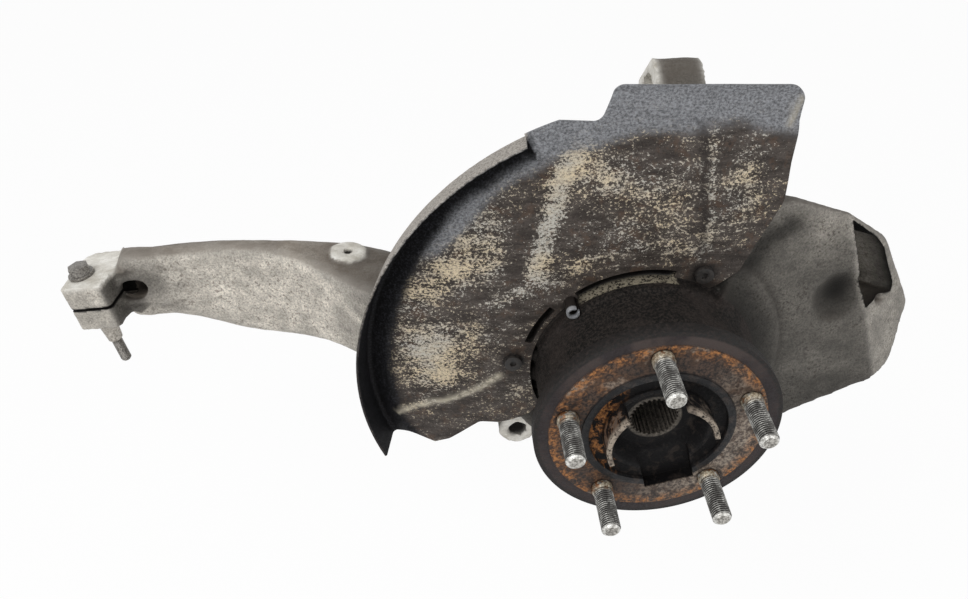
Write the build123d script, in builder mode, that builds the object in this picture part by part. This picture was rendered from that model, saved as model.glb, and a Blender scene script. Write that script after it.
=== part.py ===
"""Steering knuckle with its wheel hub, hub bearing and brake dust shield, in millimetres.

The origin is where the hub's axis meets the wheel's mounting face. -Y is outboard along that axis,
-X runs up the gooseneck arm and +Z points to the steering arm. "Depth" below is a distance inboard
of the wheel's face, and angles about the hub are counted from +X towards +Z.
"""

import os
from math import cos, radians, sin, sqrt

from build123d import *

os.makedirs("parts", exist_ok=True)

# ---------------------------------------------------------------- driving dimensions
# Fits.
press_gap = 0.02  # radial, between pieces that are pressed or driven together
slip_gap = 0.15  # radial, bolts and screws in plain holes
run_gap = 0.08  # between the balls and what they roll or slide in

# Wheel hub: flange, wheel pilot and splined spigot.
flange_radius = 75.2
flange_thickness = 10.0
face_radius = 66.1
face_step_height = 1.0  # the flange's outer band lies this far behind the wheel's face
ring_outer_radius = 46.7
ring_width = 4.7
ring_rise = 1.3
floor_depth = 2.0
pilot_radius = 33.5
pilot_wall = 3.0
petal_length = 15.0
petal_spans = ((10.0, 70.0), (135.0, 204.0))  # start and end angles
notch_width = 31.0
notch_radius = 48.0
notch_depth = 8.5
notch_angle = 285.0
nut_seat_depth = 11.0
nut_seat_radius = 24.0
hub_boss_radius = 37.0
hub_boss_depth = 17.0
hub_neck_radius = 29.0
spigot_radius = 22.5
spigot_depth = 69.5
spline_radius = 15.0
spline_tooth_height = 1.2
spline_teeth = 30
spline_space = 1.65

# Wheel studs.
stud_count = 5
stud_circle_radius = 57.15
stud_phase = 22.2
stud_radius = 6.0
stud_length = 34.8
stud_collar_radius = 6.6
stud_collar_length = 4.0
stud_neck_length = 3.0
stud_head_radius = 8.5
stud_head_height = 4.0
stud_chamfer = 1.6

# Double-row hub bearing.
bearing_depth = 22.5  # where its outboard face lies
bearing_width = 45.0
bearing_radius = 42.0
pitch_radius = 32.25
ball_radius = 6.35
ball_count = 13
row_offset = 10.5  # from the bearing's middle to each row of balls
inner_land_radius = 29.4
outer_land_radius = 35.2
cage_width = 14.6
cage_wall = 3.4
seal_width = 3.0
seal_inset = 1.3
seal_lip_gap = 0.2
slinger_thickness = 0.8
slinger_gap = 0.5

# Barrel and body of the knuckle.
barrel_radius = 67.0
barrel_depth = 18.0
barrel_chamfer = 3.0
spigot_ring_radius = 69.5
spigot_ring_depth = 50.0
body_radius = 89.0
body_depth = 61.5
body_back = 98.0
body_chamfer = 7.0
bore_lip_radius = 38.5
driveshaft_radius = 46.0
circlip_thickness = 2.4
circlip_groove = 2.0
circlip_width = 4.6
circlip_gap_angle = 34.0
circlip_ear_angle = 4.0
circlip_ear_radius = 3.9
circlip_ear_hole_radius = 1.4
circlip_land = 3.0

# Flare from the barrel to the lower web.
flare_radius = 26.0
flare_start = 52.0
flare_sweep = 150.0

# Lower web: its outline seen along the hub's axis, its face, and the slanted end facet.
web_outline = (
    (40, 118),
    (88, 112),
    (124, 99),
    (166, 64),
    (202, 4),
    (190, -37),
    (160, -42),
    (104, -59),
    (40, -72),
)
web_corner_radii = (0, 20, 16, 14, 16, 12, 18, 10, 0)
web_back = 130.0
web_face_point = (65.0, 1.5)  # x, and how far it stands in front of the body's face
web_face_slope_x = 0.16
web_face_slope_z = 0.08
ridge_top = (126.0, 95.0)
ridge_bottom = (152.0, 25.0)
ridge_drop = 15.0  # behind the body's face
facet_angle = 38.0
window_outline = ((2, 4), (76, 4), (89, 25), (80, 33), (33, 23))
window_corner_radius = 5.0
window_depth = 32.0
dimple_centre = (134.0, 39.0)
dimple_radius = 32.0
dimple_depth = 7.0
web_edge_round = 5.0
web_slope_point = (112.0, 16.5, 103.5)  # its depth is counted from the body's face
web_slope_normal = (0.32, 0.75, 0.947)

# Lower ball joint's bore, and the recess behind it for the nut.
lower_bore_radius = 8.5
lower_bore_depth = 108.0
lower_bore_height = -14.0
nut_recess = (112.0, 162.0, -40.0, 10.0)  # low and high x, low and high z
nut_recess_floor = 92.0

# Steering arm and its eye.
eye_depth = 104.0
eye_height = 166.0
eye_radius = 24.0
eye_flat = 17.5  # distance of the flat on its inboard upper side
eye_flat_angle = 45.0
eye_bore_radius = 14.0
eye_left = -3.0
eye_right = 25.0
steering_arm_thickness = 34.0
steering_arm_root = (-38.0, 66.0)
steering_arm_root_height = 70.0

# Caliper lugs.
lug_spacing = 150.0
lug_height = -74.0
lug_depth = 78.0
lug_back = 98.0
lug_radius = 13.5
lug_bore_radius = 6.2
lug_web_radius = 25.0
lug_pad_rise = 4.0

# Gooseneck arm: x, how far its front face lies behind the body's face, thickness, low z and high z
# at each station.
arm_stations = (
    (-60, 2.5, 32, -50, 50),
    (-90, 12, 38, -44.5, 44),
    (-120, 22.5, 44, -39, 38),
    (-178, 50.5, 56, -33, 31),
    (-207, 72.5, 38, -35, 33),
    (-235, 88.5, 22, -39, 36),
    (-263, 96.5, 15, -40, 37),
    (-299, 103.5, 15, -33, 31),
    (-330, 106.5, 16, -29, 27),
    (-356, 109.5, 22, -26, 21),
)
arm_corner = 6.0
# Spine behind the arm: x, how far its back face lies behind the body's face, and half its width.
spine_stations = (
    (-150, 88.5, 24),
    (-207, 122.5, 22),
    (-263, 138.5, 20),
    (-320, 140.5, 18),
    (-358, 136.5, 16),
)
spine_thickness = 36.0
spine_corner = 9.0
pad_centre = (-189.0, 92.5)  # x, and how far behind the body's face
pad_top = 34.5
pad_depth = 18.0
pad_radius = 12.3
pad_hole_radius = 3.0
pad_hole_depth = 14.0

# Clamp for the upper ball joint, in its own frame: u along the arm, v inboard, w up. Its corner's
# depth is counted from the body's face.
clamp_corner = (-393.4, 91.6, 10.3)
clamp_tilt = 10.0
clamp_yaw = 9.0
clamp_length = 32.0
clamp_width = 46.0
clamp_height = 37.0
clamp_root_length = 62.0
clamp_root_width = 24.0
clamp_corner_round = 12.0
clamp_edge_round = 3.0
clamp_bore_radius = 8.0
clamp_level = 19.0  # the bore and the slit lie this far under the milled face
clamp_slit = 2.0
relief_radius = 9.0
relief_at = 41.0
relief_depth = 40.0
bolt_at = (10.0, 17.0)
bolt_radius = 3.9
bolt_length = 79.5
bolt_flange_radius = 8.95
bolt_flange_height = 2.2
bolt_hex = 13.0
bolt_head_height = 8.0
bolt_chamfer = 1.4
clamp_wall = 0.9  # least wall between the bore and the bolt's hole or insert
insert_radius = 6.0
insert_collar_radius = 7.4
insert_collar_tip = 5.3
insert_collar_height = 21.5

# Dust shield, a pressed sheet.
sheet = 1.5
shield_hole_radius = 70.4
shield_flat_radius = 92.0
shield_dish_radius = 160.0
shield_dish = 8.0
shield_blank_radius = 210.0
rim_inner_radius = 163.0
rim_root_radius = 176.5
rim_root_drop = 18.5
rim_edge_radius = 181.5
rim_height = 25.0
rim_bend = 4.0
rim_miter = 1.5  # how much deeper the bend is outside than inside, in sheet thicknesses
rim_start = 115.5
rim_relief = 0.6  # angle of the notch between the rim's upper end and the shoulder
rim_end = 202.0
shoulder_radius = 181.0
shoulder_end = 109.0
shoulder_foot = (-36.0, 169.5)
tab_left = -29.0
tab_right = 74.0
tab_top = 190.5
tab_fall = 3.0  # how much lower the tab's top is at its right end
tab_foot = 118.0
tab_rounds = (6.0, 6.0, 9.0, 14.0)
shield_right_edge = ((60.0, 88.0), (55.0, 72.0), (43.0, 62.0))
shield_lower_edge = ((-134.0, -71.0), (-124.0, -67.0), (-103.0, -49.0), (-90.0, -49.5), (-70.0, -40.0))
shield_edge_round = 6.0
slots = ((69.4, 75.2, 77.5, 127.0), (73.0, 78.0, 140.0, 163.0))  # inner, outer radius and two angles
pocket_depth = 9.0  # of the casting's pockets behind the slots and the open gap
pocket_margin = 0.8
open_gap_span = (164.0, 208.0)  # where the barrel stands clear of the shield
screw_places = ((82.0, 175.0), (78.0, 65.0))  # radius and angle
screw_radius = 3.0
screw_length = 15.0
screw_head_radius = 5.6
screw_head_height = 3.0
screw_socket = 4.0
screw_socket_depth = 1.8
pin_place = (71.4, 131.5)  # radius and angle
pin_radius = 4.0
pin_wall = 1.3
pin_slot_width = 2.6
pin_slot_angle = 40.0
pin_proud_length = 13.5
pin_seat_depth = 8.0

# ---------------------------------------------------------------- places worked out from them
sheet_depth = body_depth - sheet
bearing_back = bearing_depth + bearing_width
bearing_middle = bearing_depth + bearing_width / 2
row_depths = {"outboard": bearing_middle - row_offset, "inboard": bearing_middle + row_offset}
circlip_depth = bearing_back
groove_end = circlip_depth + circlip_thickness + 0.1


def square_to_axis(depth):
    """A plane square to the hub's axis, facing outboard: its x is X and its y is Z."""
    return Plane.XZ.offset(-depth)


def radial_plane(angle):
    """The plane through the hub's axis at that angle: its x is the radius and its y the depth."""
    a = radians(angle)
    return Plane(origin=(0, 0, 0), x_dir=(cos(a), 0, sin(a)), z_dir=(-sin(a), 0, cos(a)))


def polar(radius, angle):
    """A point in the plane of the wheel's face."""
    return (radius * cos(radians(angle)), radius * sin(radians(angle)))


def sector(inner, outer, start, end):
    """A piece of a ring between two angles, drawn as the face of the active sketch."""
    with BuildLine(mode=Mode.PRIVATE) as outline:
        far = CenterArc((0, 0), outer, start, end - start)
        near = CenterArc((0, 0), inner, start, end - start)
        Line(near @ 0, far @ 0)
        Line(near @ 1, far @ 1)
    make_face(outline.edges())


def finish(builder, label):
    """Names a finished piece and writes it."""
    builder.part.label = label
    export_step(builder.part, f"parts/{label}.step")


# ---------------------------------------------------------------- wheel hub
with BuildPart() as wheel_hub:
    with BuildSketch(Plane.XY):
        with BuildLine():
            Polyline(
                (0, nut_seat_depth),
                (nut_seat_radius, nut_seat_depth),
                (pilot_radius - pilot_wall, 0),
                (pilot_radius - pilot_wall, -petal_length),
                (pilot_radius, -petal_length),
                (pilot_radius, floor_depth),
                (ring_outer_radius - ring_width, floor_depth),
                (ring_outer_radius - ring_width, -ring_rise),
                (ring_outer_radius, -ring_rise),
                (ring_outer_radius, 0),
                (face_radius, 0),
                (face_radius, face_step_height),
                (flange_radius, face_step_height),
                (flange_radius, flange_thickness),
                (hub_boss_radius, flange_thickness),
                (hub_boss_radius, hub_boss_depth),
                (hub_neck_radius, hub_boss_depth),
                (hub_neck_radius, bearing_depth),
                (spigot_radius, bearing_depth),
                (spigot_radius, spigot_depth),
                (0, spigot_depth),
                (0, nut_seat_depth),
            )
        make_face()
    revolve(axis=Axis.Y)
    # The pilot stands as two petals: the ring between them is cut back to the wheel's face.
    with BuildSketch(square_to_axis(0)):
        for (_, gap_start), (gap_end, _) in zip(petal_spans, petal_spans[1:] + petal_spans[:1]):
            while gap_end < gap_start:
                gap_end += 360
            sector(nut_seat_radius, pilot_radius + 1, gap_start, gap_end)
    extrude(amount=petal_length + 1, mode=Mode.SUBTRACT)
    with BuildSketch(square_to_axis(notch_depth)):
        with Locations(Location(polar((notch_radius + nut_seat_radius) / 2, notch_angle), notch_angle)):
            Rectangle(notch_radius - nut_seat_radius + 2, notch_width)
    extrude(amount=petal_length + notch_depth + 1, mode=Mode.SUBTRACT)
    with BuildSketch(square_to_axis(flange_thickness)):
        with PolarLocations(stud_circle_radius, stud_count, start_angle=stud_phase):
            Circle(stud_collar_radius + press_gap)
    extrude(amount=flange_thickness + 1, mode=Mode.SUBTRACT)
    # Splined bore: a plain bore at the teeth's tips, with the spaces cut between the teeth.
    with BuildSketch(square_to_axis(spigot_depth)):
        Circle(spline_radius - spline_tooth_height)
        with PolarLocations(spline_radius - spline_tooth_height, spline_teeth):
            Rectangle(2 * spline_tooth_height, spline_space)
    extrude(amount=spigot_depth - nut_seat_depth + 1, mode=Mode.SUBTRACT)
finish(wheel_hub, "wheel_hub")

# ---------------------------------------------------------------- wheel studs
with BuildPart() as wheel_studs:
    stud_head = flange_thickness + stud_head_height
    with BuildSketch(square_to_axis(stud_head)):
        with PolarLocations(stud_circle_radius, stud_count, start_angle=stud_phase):
            Circle(stud_head_radius)
    extrude(amount=stud_head_height)
    with BuildSketch(square_to_axis(stud_head)):
        with PolarLocations(stud_circle_radius, stud_count, start_angle=stud_phase):
            Circle(stud_radius)
    extrude(amount=stud_head + stud_length)
    # The knurled body is pressed into the flange. In front of it come a neck and then a collar.
    with BuildSketch(square_to_axis(flange_thickness)):
        with PolarLocations(stud_circle_radius, stud_count, start_angle=stud_phase):
            Circle(stud_collar_radius)
    extrude(amount=flange_thickness - stud_neck_length)
    with BuildSketch(square_to_axis(0)):
        with PolarLocations(stud_circle_radius, stud_count, start_angle=stud_phase):
            Circle(stud_collar_radius)
    extrude(amount=stud_collar_length)
    points = wheel_studs.edges().filter_by(GeomType.CIRCLE).group_by(Axis.Y)[0]
    chamfer(points, length=stud_chamfer)
finish(wheel_studs, "wheel_studs")

# ---------------------------------------------------------------- hub bearing
groove_radius = ball_radius + run_gap
with BuildPart() as bearing_outer_ring:
    with BuildSketch(Plane.XY):
        with BuildLine():
            Polyline(
                (outer_land_radius, bearing_depth),
                (bearing_radius, bearing_depth),
                (bearing_radius, bearing_back),
                (outer_land_radius, bearing_back),
                (outer_land_radius, bearing_depth),
            )
        make_face()
        with Locations(*[(pitch_radius, depth) for depth in row_depths.values()]):
            Circle(groove_radius, mode=Mode.SUBTRACT)
    revolve(axis=Axis.Y)
finish(bearing_outer_ring, "bearing_outer_ring")

inner_ring_spans = {
    "outboard": (bearing_depth, bearing_middle),
    "inboard": (bearing_middle, bearing_back),
}
for side, (start, end) in inner_ring_spans.items():
    with BuildPart() as inner_ring:
        with BuildSketch(Plane.XY):
            with BuildLine():
                Polyline(
                    (spigot_radius + press_gap, start),
                    (inner_land_radius, start),
                    (inner_land_radius, end),
                    (spigot_radius + press_gap, end),
                    (spigot_radius + press_gap, start),
                )
            make_face()
            with Locations((pitch_radius, row_depths[side])):
                Circle(groove_radius, mode=Mode.SUBTRACT)
        revolve(axis=Axis.Y)
    finish(inner_ring, f"bearing_inner_ring_{side}")

for side, depth in row_depths.items():
    with BuildPart() as ball_row:
        with BuildSketch(Plane.XY):
            with BuildLine():
                CenterArc((pitch_radius, depth), ball_radius, -90, 180)
                Line((pitch_radius, depth + ball_radius), (pitch_radius, depth - ball_radius))
            make_face()
        revolve(axis=Axis((pitch_radius, 0, 0), (0, 1, 0)))
        first_ball = ball_row.part
    with BuildPart() as ball_row:
        for number in range(ball_count):
            add(first_ball.rotate(Axis.Y, number * 360 / ball_count))
    finish(ball_row, f"ball_row_{side}")

for side, depth in row_depths.items():
    with BuildPart() as ball_cage:
        with BuildSketch(square_to_axis(depth + cage_width / 2)):
            Circle(pitch_radius + cage_wall / 2)
            Circle(pitch_radius - cage_wall / 2, mode=Mode.SUBTRACT)
        extrude(amount=cage_width)
        for number in range(ball_count):
            outward = Vector(1, 0, 0).rotate(Axis.Y, number * 360 / ball_count)
            with BuildSketch(Plane(origin=(0, depth, 0), x_dir=(0, 1, 0), z_dir=outward)):
                Circle(ball_radius + run_gap)
            extrude(amount=1.5 * pitch_radius, mode=Mode.SUBTRACT)
    finish(ball_cage, f"ball_cage_{side}")

# Seals are pressed into the outer ring; the slinger and the encoder ring turn with the inner rings.
seal_starts = {
    "outboard": bearing_depth + seal_inset,
    "inboard": bearing_back - seal_inset - seal_width,
}
for side, start in seal_starts.items():
    with BuildPart() as seal:
        with BuildSketch(square_to_axis(start + seal_width)):
            Circle(outer_land_radius - press_gap)
            Circle(inner_land_radius + seal_lip_gap, mode=Mode.SUBTRACT)
        extrude(amount=seal_width)
    finish(seal, f"bearing_seal_{side}")

slinger_backs = {
    "bearing_slinger": bearing_depth + slinger_thickness,
    "speed_encoder_ring": bearing_back,
}
for name, back in slinger_backs.items():
    with BuildPart() as slinger:
        with BuildSketch(square_to_axis(back)):
            Circle(outer_land_radius - slinger_gap)
            Circle(inner_land_radius + press_gap, mode=Mode.SUBTRACT)
        extrude(amount=slinger_thickness)
    finish(slinger, name)

# Internal circlip that holds the outer ring in the barrel.
circlip_outer = bearing_radius + circlip_groove - slip_gap
with BuildPart() as bearing_circlip:
    with BuildSketch(square_to_axis(circlip_depth + circlip_thickness)):
        clip_start = circlip_gap_angle / 2 - 90
        clip_end = 270 - circlip_gap_angle / 2
        ear_circle = circlip_outer - circlip_width
        ear_angles = (clip_start + circlip_ear_angle, clip_end - circlip_ear_angle)
        ears = [polar(ear_circle, angle) for angle in ear_angles]
        sector(ear_circle, circlip_outer, clip_start, clip_end)
        with Locations(*ears):
            Circle(circlip_ear_radius)
        with Locations(*ears):
            Circle(circlip_ear_hole_radius, mode=Mode.SUBTRACT)
    extrude(amount=circlip_thickness)
finish(bearing_circlip, "bearing_circlip")

# ---------------------------------------------------------------- knuckle casting
# Lower web: a thick plate with a tilted outboard face, a slanted end facet and a window in it.
web_face_normal = (web_face_slope_x, -1, web_face_slope_z)
web_face_depth = body_depth - web_face_point[1]
web_face_origin = (web_face_point[0], web_face_depth, 0)
web_face = Plane(origin=web_face_origin, x_dir=(1, web_face_slope_x, 0), z_dir=web_face_normal)
ridge = Vector(ridge_bottom[0] - ridge_top[0], 0, ridge_bottom[1] - ridge_top[1]).normalized()
across = Vector(-ridge.Z, 0, ridge.X)  # square to the ridge, away from the hub
facet_normal = across * sin(radians(facet_angle)) - Vector(0, cos(radians(facet_angle)), 0)
facet_origin = (ridge_top[0], body_depth + ridge_drop, ridge_top[1])
facet = Plane(origin=facet_origin, x_dir=ridge, z_dir=facet_normal)
slope_origin = (web_slope_point[0], body_depth + web_slope_point[1], web_slope_point[2])
with BuildPart() as web:
    with BuildSketch(square_to_axis(web_back)):
        with BuildLine() as web_line:
            Polyline(*web_outline, close=True)
        make_face()
        for corner, radius in zip(web_outline, web_corner_radii):
            if radius:
                fillet(vertices().sort_by_distance(corner)[0], radius)
    extrude(amount=web_back - body_depth / 2)
    split(bisect_by=web_face, keep=Keep.BOTTOM)
    split(bisect_by=facet, keep=Keep.BOTTOM)
    # The upper edge falls away towards the back.
    split(bisect_by=Plane(origin=slope_origin, z_dir=web_slope_normal), keep=Keep.BOTTOM)
    with BuildSketch(facet):
        with BuildLine():
            Polyline(*window_outline, close=True)
        make_face()
        fillet(vertices(), window_corner_radius)
    extrude(amount=-window_depth, mode=Mode.SUBTRACT)
    dimple_height = web_face_depth + web_face_slope_x * (dimple_centre[0] - web_face_point[0])
    dimple_height += web_face_slope_z * dimple_centre[1]
    with Locations((dimple_centre[0], dimple_height + dimple_depth - dimple_radius, dimple_centre[1])):
        Sphere(dimple_radius, mode=Mode.SUBTRACT)
    low_x, high_x, low_z, high_z = nut_recess
    with BuildSketch(square_to_axis(web_back + 1)):
        with Locations(((low_x + high_x) / 2, (low_z + high_z) / 2)):
            RectangleRounded(high_x - low_x, high_z - low_z, web_edge_round)
    extrude(amount=web_back + 1 - nut_recess_floor, mode=Mode.SUBTRACT)

# Gooseneck arm: a plate that bulges to the barrel's depth, with a spine behind it.
with BuildPart() as arm_plate:
    for x, front, thickness, low, high in arm_stations:
        with BuildSketch(Plane.YZ.offset(x)):
            with Locations((body_depth + front + thickness / 2, (low + high) / 2)):
                RectangleRounded(thickness, high - low, arm_corner)
    loft()

with BuildPart() as arm_spine:
    for x, back, half in spine_stations:
        with BuildSketch(Plane.YZ.offset(x)):
            with Locations((body_depth + back - spine_thickness / 2, 0)):
                RectangleRounded(spine_thickness, 2 * half, spine_corner)
    loft()

# Clamp frame: x runs down the arm from its tip, y inboard and z towards the bolt's head.
clamp_u = Vector(1, 0, 0).rotate(Axis.Y, -clamp_tilt).rotate(Axis.Z, -clamp_yaw)
clamp_w = Vector(0, 0, 1).rotate(Axis.Y, -clamp_tilt).rotate(Axis.Z, -clamp_yaw)
clamp_v = clamp_w.cross(clamp_u)
clamp_origin = (clamp_corner[0], body_depth + clamp_corner[1], clamp_corner[2])
clamp_frame = Plane(origin=clamp_origin, x_dir=clamp_u, z_dir=clamp_w)
bore_v = bolt_at[1] + bolt_radius + slip_gap + clamp_wall + clamp_bore_radius
# The insert reaches up until a wall's thickness is left between it and the bore.
insert_to_bore = bore_v - bolt_at[1] - insert_radius - press_gap
insert_rise = sqrt((clamp_bore_radius + clamp_wall) ** 2 - insert_to_bore**2)
insert_depth = clamp_height - clamp_level - insert_rise


def clamp_point(u, v, w):
    """A point given in the clamp's own frame."""
    return clamp_frame.from_local_coords((u, v, w))


def clamp_plane(u, v, w):
    """A plane of the clamp's frame through that point, facing up towards the bolt's head."""
    return Plane(origin=clamp_point(u, v, w), x_dir=clamp_u, z_dir=clamp_w)


with BuildPart() as clamp:
    with BuildSketch(clamp_frame):
        with BuildLine():
            Polyline(
                (0, 0),
                (clamp_length, 0),
                (clamp_length, clamp_width - clamp_root_width),
                (clamp_root_length, clamp_width - clamp_root_width),
                (clamp_root_length, clamp_width),
                (0, clamp_width),
                close=True,
            )
        make_face()
        for corner in ((0, clamp_width), (clamp_length, clamp_width - clamp_root_width)):
            fillet(vertices().sort_by_distance(corner)[0], clamp_corner_round)
        for corner in ((0, 0), (clamp_length, 0)):
            fillet(vertices().sort_by_distance(corner)[0], clamp_edge_round)
    extrude(amount=-clamp_height)

# Caliper lugs: raised pads at the ends of two webs.
lug_points = ((-lug_spacing / 2, lug_height), (lug_spacing / 2, lug_height))
with BuildPart() as lug_webs:
    for point in lug_points:
        with BuildSketch(square_to_axis(lug_back)) as lug_sketch:
            with Locations(point):
                Circle(lug_radius)
            with Locations((point[0] / 2, point[1] / 2)):
                Circle(lug_web_radius)
            make_hull()
        extrude(amount=lug_back - lug_depth - lug_pad_rise)
        with BuildSketch(square_to_axis(lug_back)):
            with Locations(point):
                Circle(lug_radius)
        extrude(amount=lug_back - lug_depth)

# Steering arm, up to its eye.
with BuildPart() as steering_arm:
    with BuildSketch(square_to_axis(eye_depth + steering_arm_thickness / 2)):
        with BuildLine():
            Polyline(
                (steering_arm_root[0], steering_arm_root_height),
                (eye_left + 1, eye_height - eye_radius / 2),
                (eye_right - 1, eye_height - eye_radius / 2),
                (steering_arm_root[1], steering_arm_root_height),
                (0, 0),
                close=True,
            )
        make_face()
    extrude(amount=steering_arm_thickness)
    with BuildSketch(Plane.YZ.offset(eye_left)):
        with Locations((eye_depth, eye_height)):
            Circle(eye_radius)
        flat_y = eye_depth + eye_flat * cos(radians(eye_flat_angle))
        flat_z = eye_height + eye_flat * sin(radians(eye_flat_angle))
        with Locations(Location((flat_y, flat_z), eye_flat_angle)):
            Rectangle(
                eye_flat + eye_radius,
                2 * eye_radius,
                align=(Align.MAX, Align.CENTER),
                mode=Mode.INTERSECT,
            )
    extrude(amount=eye_right - eye_left)

with BuildPart() as knuckle_casting:
    # Barrel and body.
    with BuildSketch(Plane.XY):
        with BuildLine():
            Polyline(
                (0, barrel_depth),
                (barrel_radius - barrel_chamfer, barrel_depth),
                (barrel_radius, barrel_depth + barrel_chamfer),
                (barrel_radius, spigot_ring_depth),
                (spigot_ring_radius, spigot_ring_depth),
                (spigot_ring_radius, body_depth),
                (body_radius, body_depth),
                (body_radius, body_back - body_chamfer),
                (body_radius - body_chamfer, body_back),
                (0, body_back),
                close=True,
            )
        make_face()
    revolve(axis=Axis.Y)
    # Flare between the barrel and the lower web.
    with BuildSketch(radial_plane(flare_start)):
        with BuildLine():
            flare_top = (barrel_radius, body_depth - flare_radius)
            flare_foot = (barrel_radius + flare_radius, body_depth)
            RadiusArc(flare_top, flare_foot, flare_radius)
            Polyline(
                flare_foot,
                (flare_foot[0], flare_foot[1] + body_chamfer),
                (flare_top[0] - 1, flare_foot[1] + body_chamfer),
                (flare_top[0] - 1, flare_top[1]),
                flare_top,
            )
        make_face()
    revolve(axis=Axis.Y, revolution_arc=flare_sweep)
    add(web.part)
    add(arm_plate.part)
    add(arm_spine.part)
    add(clamp.part)
    add(lug_webs.part)
    add(steering_arm.part)
    with BuildSketch(Plane.XY.offset(pad_top)):
        with Locations((pad_centre[0], body_depth + pad_centre[1])):
            Circle(pad_radius)
    extrude(amount=-pad_depth)
    # Bore for the hub's bearing: lip, seat, circlip groove and the driveshaft's recess.
    with BuildSketch(Plane.XY):
        with BuildLine():
            Polyline(
                (0, barrel_depth - 1),
                (bore_lip_radius, barrel_depth - 1),
                (bore_lip_radius, bearing_depth),
                (bearing_radius + press_gap, bearing_depth),
                (bearing_radius + press_gap, circlip_depth),
                (bearing_radius + circlip_groove, circlip_depth),
                (bearing_radius + circlip_groove, groove_end),
                (bearing_radius + press_gap, groove_end),
                (bearing_radius + press_gap, groove_end + circlip_land),
                (driveshaft_radius, groove_end + 2 * circlip_land),
                (driveshaft_radius, web_back + 1),
                (0, web_back + 1),
                close=True,
            )
        make_face()
    revolve(axis=Axis.Y, mode=Mode.SUBTRACT)
    # Holes: caliper bolts, steering eye, lower ball joint, brake hose pad.
    with BuildSketch(square_to_axis(lug_back)):
        with Locations(*lug_points):
            Circle(lug_bore_radius)
    extrude(amount=lug_back - lug_depth + 1, mode=Mode.SUBTRACT)
    with BuildSketch(Plane.YZ.offset(eye_left - 1)):
        with Locations((eye_depth, eye_height)):
            Circle(eye_bore_radius)
    extrude(amount=eye_right - eye_left + 2, mode=Mode.SUBTRACT)
    with BuildSketch(Plane.YZ.offset((nut_recess[0] + nut_recess[1]) / 2)):
        with Locations((lower_bore_depth, lower_bore_height)):
            Circle(lower_bore_radius)
    extrude(amount=web_outline[4][0], mode=Mode.SUBTRACT)
    with BuildSketch(Plane.XY.offset(pad_top)):
        with Locations((pad_centre[0], body_depth + pad_centre[1])):
            Circle(pad_hole_radius)
    extrude(amount=-pad_hole_depth, mode=Mode.SUBTRACT)
    # Clamp: bore for the ball joint's stud, slit, relief hole and the bolt's hole.
    with BuildSketch(Plane(origin=clamp_point(-1, bore_v, -clamp_level), x_dir=clamp_v, z_dir=clamp_u)):
        Circle(clamp_bore_radius)
    extrude(amount=relief_at + 1, mode=Mode.SUBTRACT)
    with BuildSketch(clamp_plane(0, 0, clamp_slit / 2 - clamp_level)):
        with Locations(((relief_at - 1) / 2, (bore_v - 1) / 2)):
            Rectangle(relief_at + 1, bore_v + 1)
    extrude(amount=-clamp_slit, mode=Mode.SUBTRACT)
    with BuildSketch(Plane(origin=clamp_point(relief_at, -1, -clamp_level), x_dir=clamp_u, z_dir=clamp_v)):
        Circle(relief_radius)
    extrude(amount=relief_depth + 1, mode=Mode.SUBTRACT)
    with BuildSketch(clamp_plane(*bolt_at, 1)):
        Circle(bolt_radius + slip_gap)
    extrude(amount=-clamp_height - 2, mode=Mode.SUBTRACT)
    with BuildSketch(clamp_plane(*bolt_at, -clamp_height - 1)):
        Circle(insert_radius + press_gap)
    extrude(amount=insert_depth + 1, mode=Mode.SUBTRACT)
    # Seats of the shield's screws and locating pin.
    with BuildSketch(square_to_axis(body_depth)):
        with Locations(*[polar(*place) for place in screw_places]):
            Circle(screw_radius + press_gap)
    extrude(amount=-screw_length, mode=Mode.SUBTRACT)
    with BuildSketch(square_to_axis(body_depth + pin_seat_depth)):
        with Locations(polar(*pin_place)):
            Circle(pin_radius + press_gap)
    extrude(amount=pin_seat_depth + pin_proud_length + 1, mode=Mode.SUBTRACT)
    # Pockets behind the shield's slots, and the gap that is open between barrel and shield.
    with BuildSketch(square_to_axis(body_depth + pocket_depth)):
        for near, far, start, end in slots:
            sector(max(near, spigot_ring_radius), far + pocket_margin, start, end)
        sector(barrel_radius, shield_hole_radius + pocket_margin, *open_gap_span)
    extrude(amount=pocket_depth + body_depth - spigot_ring_depth + 1, mode=Mode.SUBTRACT)
finish(knuckle_casting, "knuckle_casting")

# ---------------------------------------------------------------- clamp bolt and its threaded insert
with BuildPart() as pinch_bolt:
    with BuildSketch(clamp_plane(*bolt_at, 0)):
        Circle(bolt_flange_radius)
    extrude(amount=bolt_flange_height)
    with BuildSketch(clamp_plane(*bolt_at, 0)):
        RegularPolygon(bolt_hex / 2, 6, major_radius=False)
    extrude(amount=bolt_head_height)
    with BuildSketch(clamp_plane(*bolt_at, 0)):
        Circle(bolt_radius)
    extrude(amount=-bolt_length)
    tip_edges = pinch_bolt.edges().filter_by(GeomType.CIRCLE)
    chamfer(tip_edges.sort_by_distance(clamp_point(*bolt_at, -bolt_length))[0], length=bolt_chamfer)
finish(pinch_bolt, "pinch_bolt")

with BuildPart() as pinch_bolt_insert:
    with BuildSketch(clamp_plane(*bolt_at, -clamp_height)):
        Circle(insert_radius)
    extrude(amount=insert_depth)
    with BuildSketch(clamp_plane(*bolt_at, -clamp_height)):
        Circle(insert_collar_radius)
    with BuildSketch(clamp_plane(*bolt_at, -clamp_height - insert_collar_height)):
        Circle(insert_collar_tip)
    loft()
    with BuildSketch(clamp_plane(*bolt_at, 1)):
        Circle(bolt_radius + slip_gap)
    extrude(amount=-clamp_height - insert_collar_height - 2, mode=Mode.SUBTRACT)
finish(pinch_bolt_insert, "pinch_bolt_insert")

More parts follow.
